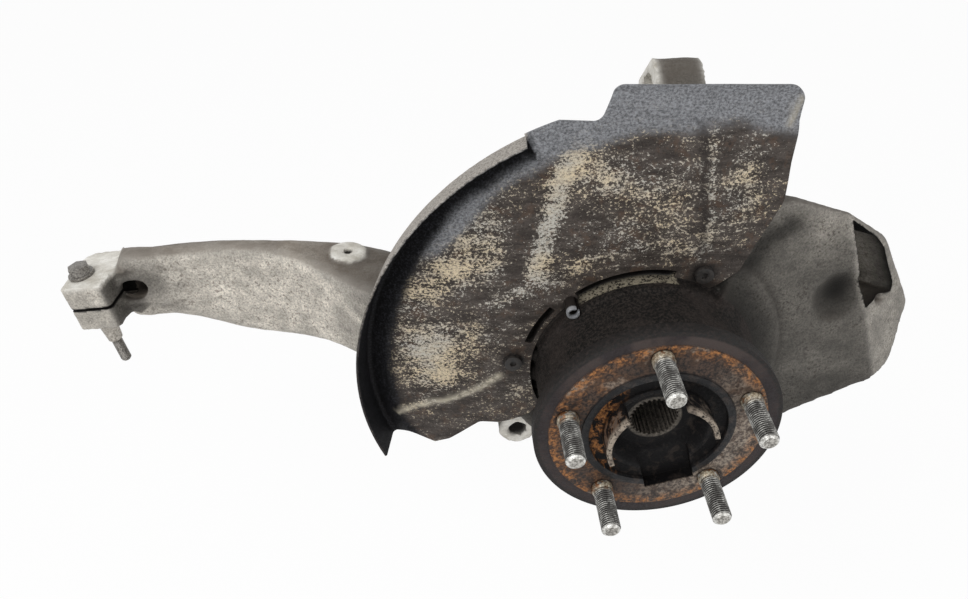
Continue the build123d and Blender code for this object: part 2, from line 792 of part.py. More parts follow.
# ---------------------------------------------------------------- dust shield
with BuildPart() as dust_shield:
    dish_depth = sheet_depth + shield_dish
    with BuildSketch(Plane.XY):
        with BuildLine():
            Polyline(
                (shield_hole_radius, sheet_depth),
                (shield_flat_radius, sheet_depth),
                (shield_dish_radius, dish_depth),
                (shield_blank_radius, dish_depth),
                (shield_blank_radius, dish_depth + sheet),
                (shield_dish_radius, dish_depth + sheet),
                (shield_flat_radius, body_depth),
                (shield_hole_radius, body_depth),
                close=True,
            )
        make_face()
    revolve(axis=Axis.Y)
    with BuildSketch(square_to_axis(dish_depth + sheet + 1)):
        with BuildLine():
            notch = rim_start - rim_relief
            rim_arc = CenterArc((0, 0), rim_inner_radius, notch, rim_end - notch)
            shoulder_arc = CenterArc((0, 0), shoulder_radius, shoulder_end, notch - shoulder_end)
            Line(rim_arc @ 0, shoulder_arc @ 1)
            tab_corners = (
                shoulder_foot,
                (tab_left, tab_top),
                (tab_right, tab_top - tab_fall),
                (tab_right, tab_foot),
            )
            inside = shield_hole_radius - 4 * sheet
            upper_line = Polyline(
                shoulder_arc @ 0,
                *tab_corners,
                *shield_right_edge,
                polar(inside, 60),
            )
            lower_line = Polyline(rim_arc @ 1, *shield_lower_edge, polar(inside, 205))
            ThreePointArc(upper_line @ 1, polar(inside, 130), lower_line @ 1)
        make_face()
        for corner, radius in zip(tab_corners, tab_rounds):
            fillet(vertices().sort_by_distance(corner)[0], radius)
        for corner in (*shield_right_edge[:2], *shield_lower_edge[1:3]):
            fillet(vertices().sort_by_distance(corner)[0], shield_edge_round)
    extrude(amount=shield_dish + 3 * sheet, mode=Mode.INTERSECT)
    # Rim that wraps the brake disc's edge.
    outer_root = (rim_root_radius, sheet_depth + rim_root_drop)
    inner_root = (rim_root_radius - sheet, outer_root[1] - rim_miter * sheet)
    with BuildSketch(radial_plane(rim_end)):
        with BuildLine():
            Polyline(
                (rim_inner_radius, dish_depth + sheet),
                outer_root,
                (rim_edge_radius, outer_root[1] - rim_height),
                (rim_edge_radius - sheet, outer_root[1] - rim_height),
                inner_root,
                (rim_inner_radius, dish_depth),
                close=True,
            )
        make_face()
        fillet(vertices().sort_by_distance(inner_root)[0], rim_bend - sheet)
        fillet(vertices().sort_by_distance(outer_root)[0], rim_bend)
    revolve(axis=Axis.Y, revolution_arc=rim_end - rim_start)
    with BuildSketch(square_to_axis(body_depth + 1)):
        for slot in slots:
            sector(*slot)
    extrude(amount=3 * sheet, mode=Mode.SUBTRACT)
    with BuildSketch(square_to_axis(body_depth + 1)):
        with Locations(*[polar(*place) for place in screw_places]):
            Circle(screw_radius + slip_gap)
        with Locations(polar(*pin_place)):
            Circle(pin_radius + slip_gap)
    extrude(amount=3 * sheet, mode=Mode.SUBTRACT)
finish(dust_shield, "dust_shield")

with BuildPart() as shield_screws:
    for place in screw_places:
        with BuildSketch(square_to_axis(sheet_depth)):
            with Locations(polar(*place)):
                Circle(screw_head_radius)
        extrude(amount=screw_head_height)
        with BuildSketch(square_to_axis(sheet_depth)):
            with Locations(polar(*place)):
                Circle(screw_radius)
        extrude(amount=-screw_length)
        with BuildSketch(square_to_axis(sheet_depth - screw_head_height)):
            with Locations(polar(*place)):
                RegularPolygon(screw_socket / 2, 6, major_radius=False)
        extrude(amount=-screw_socket_depth, mode=Mode.SUBTRACT)
finish(shield_screws, "shield_screws")

with BuildPart() as shield_pin:
    with BuildSketch(square_to_axis(body_depth + pin_seat_depth)):
        with Locations(Location(polar(*pin_place), pin_slot_angle)):
            Circle(pin_radius)
            Circle(pin_radius - pin_wall, mode=Mode.SUBTRACT)
            with Locations((pin_radius, 0)):
                Rectangle(2 * pin_radius, pin_slot_width, mode=Mode.SUBTRACT)
    extrude(amount=pin_seat_depth + pin_proud_length)
finish(shield_pin, "shield_pin")
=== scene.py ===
"""Steering knuckle of a car with its hub, hub bearing and dust shield, dressed for looks.

Metres throughout. -Y is outboard along the hub's axis, -X runs up the gooseneck arm, +Z is up.
"""

import bmesh
import bpy
import numpy as np
from mathutils import Matrix, Vector
from mathutils.bvhtree import BVHTree


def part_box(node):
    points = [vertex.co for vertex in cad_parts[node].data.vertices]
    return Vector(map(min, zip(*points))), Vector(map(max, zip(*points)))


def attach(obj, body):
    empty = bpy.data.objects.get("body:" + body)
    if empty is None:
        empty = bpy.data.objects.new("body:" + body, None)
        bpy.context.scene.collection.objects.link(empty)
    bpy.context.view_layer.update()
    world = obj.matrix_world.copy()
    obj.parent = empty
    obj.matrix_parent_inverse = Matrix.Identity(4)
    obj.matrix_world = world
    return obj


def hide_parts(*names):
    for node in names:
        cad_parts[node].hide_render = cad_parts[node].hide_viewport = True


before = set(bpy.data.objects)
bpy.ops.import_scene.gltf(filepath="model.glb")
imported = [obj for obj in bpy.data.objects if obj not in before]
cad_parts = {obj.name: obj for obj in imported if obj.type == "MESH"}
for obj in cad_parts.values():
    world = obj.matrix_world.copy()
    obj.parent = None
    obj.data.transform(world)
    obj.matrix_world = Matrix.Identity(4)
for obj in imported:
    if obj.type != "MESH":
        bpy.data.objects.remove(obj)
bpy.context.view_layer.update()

# ------------------------------------------------------------------ camera
# The camera stands above and a little to the left of the hub, looking down on the
# wheel's side of the knuckle.
CAMERA_LENS = 33.31
CAMERA_PLACE = (
    (0.99754, 0.04279, -0.05545, -0.13037),
    (-0.07004, 0.60939, -0.78977, -0.36840),
    (0.0, 0.79171, 0.61089, 0.38949),
    (0.0, 0.0, 0.0, 1.0),
)
camera_data = bpy.data.cameras.new("camera")
camera_data.sensor_width = 36.0
camera_data.lens = CAMERA_LENS
camera_data.clip_start = 0.01
camera = bpy.data.objects.new("camera", camera_data)
camera.matrix_world = Matrix(CAMERA_PLACE)
bpy.context.scene.collection.objects.link(camera)
bpy.context.scene.camera = camera
bpy.context.scene.view_settings.view_transform = "Standard"

# ------------------------------------------------------------------ studio
# A pale floor under the part, a white surround, and three soft lamps: the key lamp up on the
# left, a fill lamp on the right and a low one in front.
FLOOR_HEIGHT = -0.30
FLOOR_SIZE = 12.0
FLOOR_SHADE = 0.9
FLOOR_WHITENESS = 0.95
SURROUND = 0.42
LAMP_SIZE = 0.9
LAMP_AIM = Vector((-0.1, 0.05, 0.0))
LAMPS = (
    # name, place, power
    ("key_lamp", (-0.95, -0.55, 1.25), 15.0),
    ("fill_lamp", (1.15, -0.75, 0.70), 5.0),
    ("front_lamp", (-0.30, -1.35, 0.10), 3.5),
)


def seen_as_white(owner, shader_kind, color, white_kind, share):
    """Gives a world or a material one shader of that colour, mixed by that share with plain
    white light for what the camera, gloss and glass see of it. Returns the shader."""
    owner.use_nodes = True
    tree = owner.node_tree
    tree.nodes.clear()
    shader = tree.nodes.new(shader_kind)
    shader.inputs["Color"].default_value = color
    white = tree.nodes.new(white_kind)
    white.inputs["Color"].default_value = (1, 1, 1, 1)
    rays = tree.nodes.new("ShaderNodeLightPath")
    seen = rays.outputs["Is Camera Ray"]
    for other in ("Is Glossy Ray", "Is Transmission Ray"):
        either = tree.nodes.new("ShaderNodeMath")
        either.operation = "MAXIMUM"
        tree.links.new(seen, either.inputs[0])
        tree.links.new(rays.outputs[other], either.inputs[1])
        seen = either.outputs[0]
    weight = tree.nodes.new("ShaderNodeMath")
    weight.operation = "MULTIPLY"
    weight.inputs[1].default_value = share
    tree.links.new(seen, weight.inputs[0])
    mix = tree.nodes.new("ShaderNodeMixShader")
    for socket, source in zip(mix.inputs, (weight, shader, white)):
        tree.links.new(source.outputs[0], socket)
    is_world = isinstance(owner, bpy.types.World)
    out = tree.nodes.new("ShaderNodeOutputWorld" if is_world else "ShaderNodeOutputMaterial")
    tree.links.new(mix.outputs[0], out.inputs[0])
    return shader


world = bpy.data.worlds.new("studio")
surround = seen_as_white(world, "ShaderNodeBackground", (1, 1, 1, 1), "ShaderNodeBackground", 1.0)
surround.inputs["Strength"].default_value = SURROUND
bpy.context.scene.world = world

floor_mesh = bpy.data.meshes.new("floor")
floor_corners = np.array(((-1, -1), (1, -1), (1, 1), (-1, 1))) * FLOOR_SIZE / 2
floor_mesh.from_pydata([(*corner, FLOOR_HEIGHT) for corner in floor_corners], [], [(0, 1, 2, 3)])
floor = bpy.data.objects.new("floor", floor_mesh)
bpy.context.scene.collection.objects.link(floor)
floor_paint = bpy.data.materials.new("floor_paint")
floor_color = (FLOOR_SHADE, FLOOR_SHADE, FLOOR_SHADE, 1)
seen_as_white(
    floor_paint, "ShaderNodeBsdfDiffuse", floor_color, "ShaderNodeEmission", FLOOR_WHITENESS
)
floor_mesh.materials.append(floor_paint)

for lamp_name, place, power in LAMPS:
    lamp_data = bpy.data.lights.new(lamp_name, "AREA")
    lamp_data.size = LAMP_SIZE
    lamp_data.energy = power
    lamp = bpy.data.objects.new(lamp_name, lamp_data)
    lamp.location = place
    lamp.rotation_euler = (LAMP_AIM - Vector(place)).to_track_quat("-Z", "Y").to_euler()
    bpy.context.scene.collection.objects.link(lamp)

# ------------------------------------------------------------------ wheel hub
# Forged steel flange with a stepped rim, a raised pilot ring and two pilot petals round the
# splined bore. Bare steel that has rusted all over: orange on the wheel's face where the disc
# kept it damp, dark scale on the rim, and in the cup dark scale with painted shade over it.
# Radii between which one zone of the rust turns into the next.
ORANGE_EDGE = (0.0570, 0.0640)
BAND_START = (0.0657, 0.0664)
BAND_END = (0.0718, 0.0732)
PILOT_OUTSIDE = (0.0474, 0.0466)
PILOT_INSIDE = (0.0424, 0.0416)
NOTCH_END = (0.0530, 0.0525)
STAIN_START = (0.0332, 0.0340)
SPLINE_MOUTH = (0.0175, 0.0165)


def tone(red, green, blue):
    """A colour from its 0-255 screen values: each is brought to light's own scale."""
    parts = np.array((red, green, blue)) / 255
    bright = ((parts + 0.055) / 1.055) ** 2.4
    return tuple(np.where(parts > 0.04045, bright, parts / 12.92).tolist())


class Finish:
    """A surface finish under construction: a material and the colour it has so far. Patterns
    lie on the piece's Object coordinates, in metres."""

    def __init__(self, name):
        self.material = bpy.data.materials.new(name)
        self.material.use_nodes = True
        self.tree = self.material.node_tree
        self.shader = self.tree.nodes["Principled BSDF"]
        self.coordinates = self.tree.nodes.new("ShaderNodeTexCoord")
        self.place = self.coordinates.outputs["Object"]
        self.color = None

    def feed(self, socket, value):
        """Links another step's result to a socket, or writes a number or a colour on it."""
        if isinstance(value, bpy.types.NodeSocket):
            self.tree.links.new(value, socket)
        else:
            socket.default_value = (*value, 1) if isinstance(value, tuple) else value

    def set(self, socket, value):
        """Gives a socket of the shader a number, a colour or another step's result."""
        self.feed(self.shader.inputs[socket], value)

    def cloud(self, size, detail, roughness, stretch=(1, 1, 1), seed=0.0, warp=0.0):
        """Cloudy noise whose lumps are about that size in metres, from 0 to 1."""
        where = self.place
        if stretch != (1, 1, 1) or seed:
            shift = self.tree.nodes.new("ShaderNodeMapping")
            shift.inputs["Location"].default_value = (seed, seed * 0.7, -seed)
            shift.inputs["Scale"].default_value = stretch
            self.tree.links.new(where, shift.inputs["Vector"])
            where = shift.outputs[0]
        node = self.tree.nodes.new("ShaderNodeTexNoise")
        node.inputs["Scale"].default_value = 1 / size
        node.inputs["Detail"].default_value = detail
        node.inputs["Roughness"].default_value = roughness
        node.inputs["Distortion"].default_value = warp
        self.tree.links.new(where, node.inputs["Vector"])
        return node.outputs["Fac"]

    def between(self, value, low, high, out_low=0.0, out_high=1.0):
        """Stretches a value so that low gives out_low and high gives out_high, and no further."""
        node = self.tree.nodes.new("ShaderNodeMapRange")
        ends = ("Value", "From Min", "From Max", "To Min", "To Max")
        for socket, number in zip(ends, (value, low, high, out_low, out_high)):
            self.feed(node.inputs[socket], number)
        return node.outputs[0]

    def worked(self, operation, first, *others):
        """Works one operation through several values, from the first to the last."""
        for other in others:
            node = self.tree.nodes.new("ShaderNodeMath")
            node.operation = operation
            self.feed(node.inputs[0], first)
            self.feed(node.inputs[1], other)
            first = node.outputs[0]
        return first

    def times(self, *values):
        return self.worked("MULTIPLY", *values)

    def most(self, *values):
        return self.worked("MAXIMUM", *values)

    def blend(self, share, under, over):
        """The under colour with the over colour laid on it by that share."""
        node = self.tree.nodes.new("ShaderNodeMix")
        node.data_type = "RGBA"
        self.feed(node.inputs[0], share)
        colors = [socket for socket in node.inputs if socket.type == "RGBA"]
        self.feed(colors[0], under)
        self.feed(colors[1], over)
        return next(socket for socket in node.outputs if socket.type == "RGBA")

    def mottle(self, value, low, high, under, over):
        """The under colour, turning into the over colour as the value goes from low to high."""
        return self.blend(self.between(value, low, high), under, over)

    def lay(self, share, color):
        """Lays a colour on the finish's colour so far, by that share."""
        self.color = self.blend(share, self.color, color)

    def marked(self, name):
        """A value stored on the mesh's points under that name."""
        node = self.tree.nodes.new("ShaderNodeAttribute")
        node.attribute_name = name
        return node.outputs["Fac"]

    def part(self, vector, axis):
        """One of the three numbers of a vector."""
        node = self.tree.nodes.new("ShaderNodeSeparateXYZ")
        self.tree.links.new(vector, node.inputs[0])
        return node.outputs["XYZ".index(axis)]

    def along(self, axis):
        return self.part(self.place, axis)

    def from_axis(self):
        """Distance from the hub's axis."""
        flat = self.tree.nodes.new("ShaderNodeVectorMath")
        flat.operation = "MULTIPLY"
        flat.inputs[1].default_value = (1, 0, 1)
        self.tree.links.new(self.place, flat.inputs[0])
        length = self.tree.nodes.new("ShaderNodeVectorMath")
        length.operation = "LENGTH"
        self.tree.links.new(flat.outputs[0], length.inputs[0])
        return length.outputs["Value"]

    def hollows(self, reach):
        """How open a place is: 1 on open faces, less in corners, within that reach."""
        node = self.tree.nodes.new("ShaderNodeAmbientOcclusion")
        node.samples = 6
        node.inputs["Distance"].default_value = reach
        return node.outputs["AO"]

    def relief(self, *layers):
        """Bumps laid on each other. Each is a height from 0 to 1, its depth and its strength."""
        normal = None
        for height, depth, strength in layers:
            node = self.tree.nodes.new("ShaderNodeBump")
            node.inputs["Strength"].default_value = strength
            node.inputs["Distance"].default_value = depth
            self.tree.links.new(height, node.inputs["Height"])
            if normal is not None:
                self.tree.links.new(normal, node.inputs["Normal"])
            normal = node.outputs["Normal"]
        self.tree.links.new(normal, self.shader.inputs["Normal"])

    def complete(self, metallic, roughness, specular=0.5):
        """Gives the shader the colour so far, and how metallic, rough and glossy it is."""
        self.set("Base Color", self.color)
        self.set("Metallic", metallic)
        self.set("Roughness", roughness)
        self.set("Specular IOR Level", specular)

    def on(self, piece):
        piece.data.materials.clear()
        piece.data.materials.append(self.material)


def merged_copy(node, name):
    """A copy of a CAD node's mesh with its loose triangles joined, as a piece of its own."""
    piece = bpy.data.objects.new(name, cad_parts[node].data.copy())
    bpy.context.scene.collection.objects.link(piece)
    mesh = bmesh.new()
    mesh.from_mesh(piece.data)
    bmesh.ops.remove_doubles(mesh, verts=mesh.verts, dist=2e-6)
    bmesh.ops.dissolve_degenerate(mesh, edges=mesh.edges, dist=1e-6)
    mesh.to_mesh(piece.data)
    mesh.free()
    return piece


def apply_modifiers(piece):
    """Makes what the modifiers give the piece's own mesh."""
    seen = piece.evaluated_get(bpy.context.evaluated_depsgraph_get())
    done = bpy.data.meshes.new_from_object(seen)
    piece.modifiers.clear()
    piece.data = done


def smooth_but_edges(piece, angle):
    """Shades the piece smooth, with edges sharper than that angle in degrees left crisp."""
    mesh = bmesh.new()
    mesh.from_mesh(piece.data)
    for face in mesh.faces:
        face.smooth = True
    limit = np.radians(angle)
    for edge in mesh.edges:
        edge.smooth = len(edge.link_faces) != 2 or bool(edge.calc_face_angle(0) < limit)
    mesh.to_mesh(piece.data)
    mesh.free()


def eased(piece, width, crisp=35):
    """Breaks the piece's sharp edges by that width, as a used casting or forging has them, and
    shades it smooth but for edges over the crisp angle. Returns the piece."""
    bevel = piece.modifiers.new("ease", "BEVEL")
    bevel.width = width
    bevel.segments = 2
    bevel.limit_method = "ANGLE"
    bevel.angle_limit = np.radians(35.0)
    bevel.use_clamp_overlap = True
    apply_modifiers(piece)
    smooth_but_edges(piece, crisp)
    return piece


hub = eased(merged_copy("wheel_hub", "hub"), 0.0005, 32)

rust = Finish("hub_rust")
rust_broad = rust.cloud(0.022, 4, 0.55, seed=1.0)
rust_patches = rust.cloud(0.0065, 5, 0.66, warp=0.4)
rust_fine = rust.cloud(0.0019, 4, 0.70, seed=3.0)
hub_radius = rust.from_axis()
hub_x, hub_depth, hub_z = (rust.along(axis) for axis in "XYZ")
rust_orange = rust.mottle(rust_fine, 0.42, 0.60, tone(84, 54, 34), tone(164, 112, 66))
# The wheel's face is brown, greyer and paler on the right, with orange along its outer edge.
rust.color = rust.mottle(rust_fine, 0.42, 0.60, tone(26, 20, 18), tone(76, 61, 52))
rust.lay(rust.between(rust_broad, 0.48, 0.58, 0.0, 0.45), tone(80, 58, 42))
grey_share = rust.times(
    rust.between(rust.worked("ADD", hub_x, rust.times(hub_z, -0.45)), 0.004, 0.052),
    rust.between(rust_patches, 0.42, 0.53, 0.15, 1.0),
)
grey_share = rust.most(grey_share, rust.between(rust_broad, 0.57, 0.63, 0.0, 0.7))
rust_grey = rust.mottle(rust_fine, 0.42, 0.58, tone(84, 74, 68), tone(160, 148, 134))
rust.lay(rust.times(grey_share, 0.85), rust_grey)
edge_share = rust.times(
    rust.between(hub_radius, *ORANGE_EDGE), rust.between(rust_patches, 0.42, 0.54)
)
left_share = rust.times(
    rust.between(hub_x, -0.020, -0.050),
    rust.between(rust_broad, 0.42, 0.52),
    rust.between(rust_patches, 0.46, 0.58, 0.10, 0.75),
)
orange_share = rust.most(edge_share, left_share)
rust.lay(rust.times(orange_share, rust.between(rust_fine, 0.36, 0.52, 0.45, 1.0)), rust_orange)
# The stepped band round the face is smooth and plum brown, and black on the flange's edge.
band = rust.mottle(rust_fine, 0.40, 0.60, tone(34, 28, 27), tone(66, 55, 52))
band = rust.blend(rust.between(hub_z, 0.030, 0.066, 0.0, 0.6), band, tone(84, 73, 68))
band = rust.blend(rust.between(rust_broad, 0.42, 0.56, 0.0, 0.6), tone(36, 30, 31), band)
flange_edge = rust.mottle(rust_fine, 0.46, 0.62, tone(17, 15, 14), tone(44, 38, 36))
band = rust.mottle(hub_radius, *BAND_END, band, flange_edge)
rust.lay(rust.between(hub_radius, *BAND_START), band)
# The ring and all inside it are blue-black and a little glossy, with brown on the ring's corners.
# Inside the ring and on the notches' floor it is darker still: dark scale with painted shade of the
# deep cup.
pilot_band = rust.between(hub_radius, *PILOT_OUTSIDE)
rust.lay(pilot_band, rust.mottle(rust_patches, 0.50, 0.62, tone(15, 15, 17), tone(46, 40, 37)))
notch_floor = rust.times(
    rust.between(hub_radius, *NOTCH_END), rust.between(hub_depth, 0.0004, 0.0012)
)
inside = rust.most(rust.between(hub_radius, *PILOT_INSIDE), notch_floor)
rust.lay(inside, rust.mottle(rust_patches, 0.52, 0.66, tone(10, 9, 10), tone(40, 35, 32)))
# An orange stain on the left of the floor, and pale dirt on the petals' edges and walls.
left_stain = rust.times(
    inside,
    rust.between(hub_x, -0.019, -0.029),
    rust.between(hub_radius, *STAIN_START),
    rust.between(rust_patches, 0.48, 0.55),
)
rust.lay(left_stain, rust_orange)
for petal_depths, dirt, dirt_tone in (
    ((-0.0110, -0.0140), rust.between(rust_fine, 0.38, 0.52), tone(158, 146, 132)),
    ((-0.0005, -0.0040), rust.between(rust_patches, 0.50, 0.58, 0.0, 0.6), tone(96, 86, 78)),
):
    rust.lay(rust.times(inside, rust.between(hub_depth, *petal_depths), dirt), dirt_tone)
spline_share = rust.times(
    rust.between(hub_radius, *SPLINE_MOUTH), rust.between(hub_depth, 0.0085, 0.0105)
)
rust.lay(spline_share, rust.mottle(rust_fine, 0.40, 0.60, tone(60, 56, 52), tone(104, 98, 90)))
# Painted shade in the hub's corners and hollows.
rust.lay(rust.between(rust.hollows(0.006), 0.75, 0.30, 0.0, 0.85), tone(13, 11, 10))
rust_roughness = rust.between(rust_fine, 0.3, 0.7, 0.50, 0.85)
rust_roughness = rust.worked("SUBTRACT", rust_roughness, rust.times(pilot_band, 0.12))
rust.complete(0.0, rust_roughness, rust.between(inside, 0.0, 1.0, 0.30, 0.12))
rust.relief((rust_patches, 0.0012, 0.5), (rust_fine, 0.0007, 0.7))
rust.on(hub)
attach(hub, "hub")
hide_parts("wheel_hub")

# ------------------------------------------------------------------ wheel studs
# Five zinc-plated M12 x 1.5 studs pressed into the flange from behind. Each has a plain collar at
# the flange and a rolled thread out to a chamfered end. Rust has crept up from the flange.
STUD_COUNT = 5
STUD_CIRCLE = 0.05715
STUD_PHASE = 22.2
STUD_RADIUS = 0.0060
STUD_TIP = -0.0348
STUD_COLLAR = (-0.0040, 0.0066)
STUD_BACK = 0.0139
STUD_HEAD = (0.0101, 0.0085)
STUD_PITCH = 0.0015
STUD_THREAD_DEPTH = 0.00085


def threaded_rod(outline, thread, pitch, depth, around=40):
    """Rod about +Y: its radius follows the outline, given as (y, radius) pairs, less a groove that
    climbs one pitch a turn between the thread's two ends, a V with flat crests. Returns points,
    faces and how deep in the groove each point lies, from 0 to 1."""
    ends = np.array(outline)
    along = [ends[0, 0]]
    for start, stop in zip(ends[:, 0], ends[1:, 0]):
        in_thread = start < thread[1] and stop > thread[0]
        steps = max(1, int(np.ceil((stop - start) / (pitch / 8)))) if in_thread else 1
        along.extend(np.linspace(start, stop, steps + 1)[1:])
    turn = np.linspace(0, 2 * np.pi, around, endpoint=False)
    y, angle = np.meshgrid(np.array(along), turn, indexing="ij")
    phase = (y / pitch + angle / (2 * np.pi)) % 1.0
    groove = np.clip(np.abs(2 * phase - 1) * 1.25 - 0.12, 0, 1)
    groove *= np.clip((y - thread[0]) / pitch, 0, 1) * np.clip((thread[1] - y) / pitch, 0, 1)
    radius = np.interp(y, ends[:, 0], ends[:, 1]) - depth * groove
    points = np.stack([radius * np.cos(angle), y, radius * np.sin(angle)], -1).reshape(-1, 3)
    rows, row = len(along), np.arange(around)
    beside = (row + 1) % around
    first = np.arange(rows - 1)[:, None] * around
    corners = (first + row, first + around + row, first + around + beside, first + beside)
    faces = np.stack(corners, -1).reshape(-1, 4).tolist()
    far = (rows - 1) * around
    faces += [(len(points), *pair) for pair in zip(beside, row)]
    faces += [(len(points) + 1, *pair) for pair in zip(far + row, far + beside)]
    points = np.vstack([points, [[0, along[0], 0], [0, along[-1], 0]]])
    return points, faces, np.append(groove.ravel(), (0, 0))


def add_piece(name, points, faces):
    """Makes a piece from points and faces, with its faces turned outwards."""
    mesh = bpy.data.meshes.new(name)
    mesh.from_pydata(np.asarray(points).tolist(), [], [tuple(map(int, face)) for face in faces])
    piece = bpy.data.objects.new(name, mesh)
    bpy.context.scene.collection.objects.link(piece)
    shell = bmesh.new()
    shell.from_mesh(mesh)
    bmesh.ops.recalc_face_normals(shell, faces=shell.faces)
    shell.to_mesh(mesh)
    shell.free()
    return piece


def mark_points(piece, name, values):
    """Stores a value for each point of the piece under that name, for its finish to read."""
    stored = piece.data.attributes.new(name, "FLOAT", "POINT")
    stored.data.foreach_set("value", np.asarray(values, np.float32))


stud_outline = (
    (STUD_TIP, 0.0040),
    (STUD_TIP + 0.0005, 0.0044),
    (STUD_TIP + 0.0016, STUD_RADIUS),
    (STUD_COLLAR[0] - 0.0006, STUD_RADIUS),
    (STUD_COLLAR[0], STUD_COLLAR[1]),
    (-0.0001, STUD_COLLAR[1]),
    (0.0001, STUD_RADIUS),
    (STUD_HEAD[0], STUD_RADIUS),
    (STUD_HEAD[0] + 0.0001, STUD_HEAD[1]),
    (STUD_BACK - 0.0005, STUD_HEAD[1]),
    (STUD_BACK, STUD_HEAD[1] - 0.0006),
)
stud_points, stud_faces, stud_groove = threaded_rod(
    stud_outline, (STUD_TIP + 0.0004, STUD_COLLAR[0] - 0.0015), STUD_PITCH, STUD_THREAD_DEPTH
)
all_points, all_faces = [], []
for number in range(STUD_COUNT):
    spot = np.radians(STUD_PHASE + 360 / STUD_COUNT * number)
    offset = len(stud_points) * number
    all_points.append(stud_points + (STUD_CIRCLE * np.cos(spot), 0, STUD_CIRCLE * np.sin(spot)))
    all_faces += [[corner + offset for corner in face] for face in stud_faces]
studs = add_piece("studs", np.vstack(all_points), all_faces)
mark_points(studs, "groove", np.tile(stud_groove, STUD_COUNT))
smooth_but_edges(studs, 50)

zinc = Finish("stud_zinc")
zinc_fine = zinc.cloud(0.0016, 4, 0.7)
zinc_streaks = zinc.cloud(0.0060, 4, 0.6, seed=2.0)
stud_depth = zinc.along("Y")
zinc.color = zinc.mottle(zinc_fine, 0.40, 0.60, tone(118, 117, 113), tone(186, 185, 180))
zinc.lay(zinc.times(zinc.between(zinc_streaks, 0.46, 0.56), 0.75), tone(58, 55, 52))
# Painted shade in the thread's grooves.
zinc.lay(zinc.times(zinc.between(zinc.marked("groove"), 0.20, 0.60), 0.94), tone(20, 18, 17))
# The tip's chamfer is paler, round a darker end.
chamfer = zinc.mottle(zinc_fine, 0.42, 0.58, tone(150, 148, 143), tone(226, 225, 220))
zinc.lay(zinc.between(stud_depth, STUD_TIP + 0.0018, STUD_TIP + 0.0014), chamfer)
end_tone = zinc.mottle(zinc_fine, 0.42, 0.58, tone(84, 80, 74), tone(168, 164, 156))
end_share = zinc.between(stud_depth, STUD_TIP + 0.00010, STUD_TIP + 0.00004)
zinc.lay(zinc.times(end_share, 0.7), end_tone)
root_rust = zinc.times(
    zinc.between(stud_depth, STUD_COLLAR[0] - 0.0030, STUD_COLLAR[0] + 0.0005),
    zinc.between(zinc.cloud(0.004, 4, 0.65), 0.36, 0.48),
)
zinc.lay(root_rust, zinc.mottle(zinc_fine, 0.42, 0.58, tone(126, 110, 90), tone(190, 180, 158)))
zinc.lay(zinc.times(root_rust, zinc.between(zinc_streaks, 0.52, 0.58)), tone(112, 72, 42))
# Painted shade in the studs' corners and hollows.
zinc.lay(zinc.between(zinc.hollows(0.0020), 0.75, 0.35), tone(24, 20, 18))
zinc.complete(0.55, zinc.between(zinc_fine, 0.3, 0.7, 0.28, 0.58))
zinc.relief((zinc_fine, 0.0001, 0.5))
zinc.on(studs)
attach(studs, "hub")
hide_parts("wheel_studs")

# ------------------------------------------------------------------ hub bearing
# Double-row ball bearing: ground steel rings, polished balls in nylon cages, black rubber seals
# behind pressed slingers, and a magnetised encoder ring at the back. A black circlip holds it.


def plain_finish(name, dark, bright, lump, roughness, metallic):
    """Clean worked metal, nylon or rubber: fine cloudy variation between two tones."""
    finish = Finish(name)
    grain = finish.cloud(lump, 4, 0.6)
    finish.color = finish.mottle(grain, 0.35, 0.65, dark, bright)
    finish.complete(metallic, finish.between(grain, 0.3, 0.7, *roughness))
    finish.relief((grain, 0.00005, 0.4))
    return finish


BEARING_FINISHES = (
    # nodes; then the finish's name, dark and bright colour, lump, roughness and metallic
    (("bearing_outer_ring", "bearing_inner_ring_outboard", "bearing_inner_ring_inboard"),
     ("bearing_steel", (0.36, 0.35, 0.34), (0.56, 0.55, 0.54), 0.003, (0.22, 0.38), 1.0)),
    (("ball_row_outboard", "ball_row_inboard"),
     ("ball_steel", (0.62, 0.62, 0.63), (0.74, 0.74, 0.75), 0.002, (0.06, 0.14), 1.0)),
    (("ball_cage_outboard", "ball_cage_inboard"),
     ("cage_nylon", (0.48, 0.44, 0.34), (0.60, 0.55, 0.43), 0.004, (0.45, 0.60), 0.0)),
    (("bearing_seal_outboard", "bearing_seal_inboard"),
     ("seal_rubber", (0.018, 0.018, 0.018), (0.045, 0.043, 0.042), 0.002, (0.60, 0.80), 0.0)),
    (("bearing_slinger",),
     ("slinger_steel", (0.16, 0.13, 0.11), (0.34, 0.31, 0.28), 0.004, (0.35, 0.60), 1.0)),
    (("speed_encoder_ring",),
     ("encoder_rubber", (0.035, 0.030, 0.028), (0.075, 0.066, 0.060), 0.003, (0.55, 0.75), 0.0)),
    (("bearing_circlip",),
     ("circlip_steel", (0.05, 0.045, 0.042), (0.14, 0.12, 0.11), 0.003, (0.40, 0.60), 1.0)),
)
for bearing_nodes, recipe in BEARING_FINISHES:
    finish = plain_finish(*recipe)
    for node in bearing_nodes:
        finish.on(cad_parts[node])

# ------------------------------------------------------------------ knuckle casting
# One aluminium casting, rough-skinned and rounded at every join, then milled at the clamp, the
# spigot ring, the bores, the eye's ends and the lugs. Dark road film covers it near the hub, while
# the arm, out of the spray, is still pale.
CASTING_CELL = 0.0021
CAST_ROUNDS = 7
SNAP_REACH = 0.0015  # how far a rounded point may lie from its true face and be drawn back
WEAR_DEPTH = 0.0009
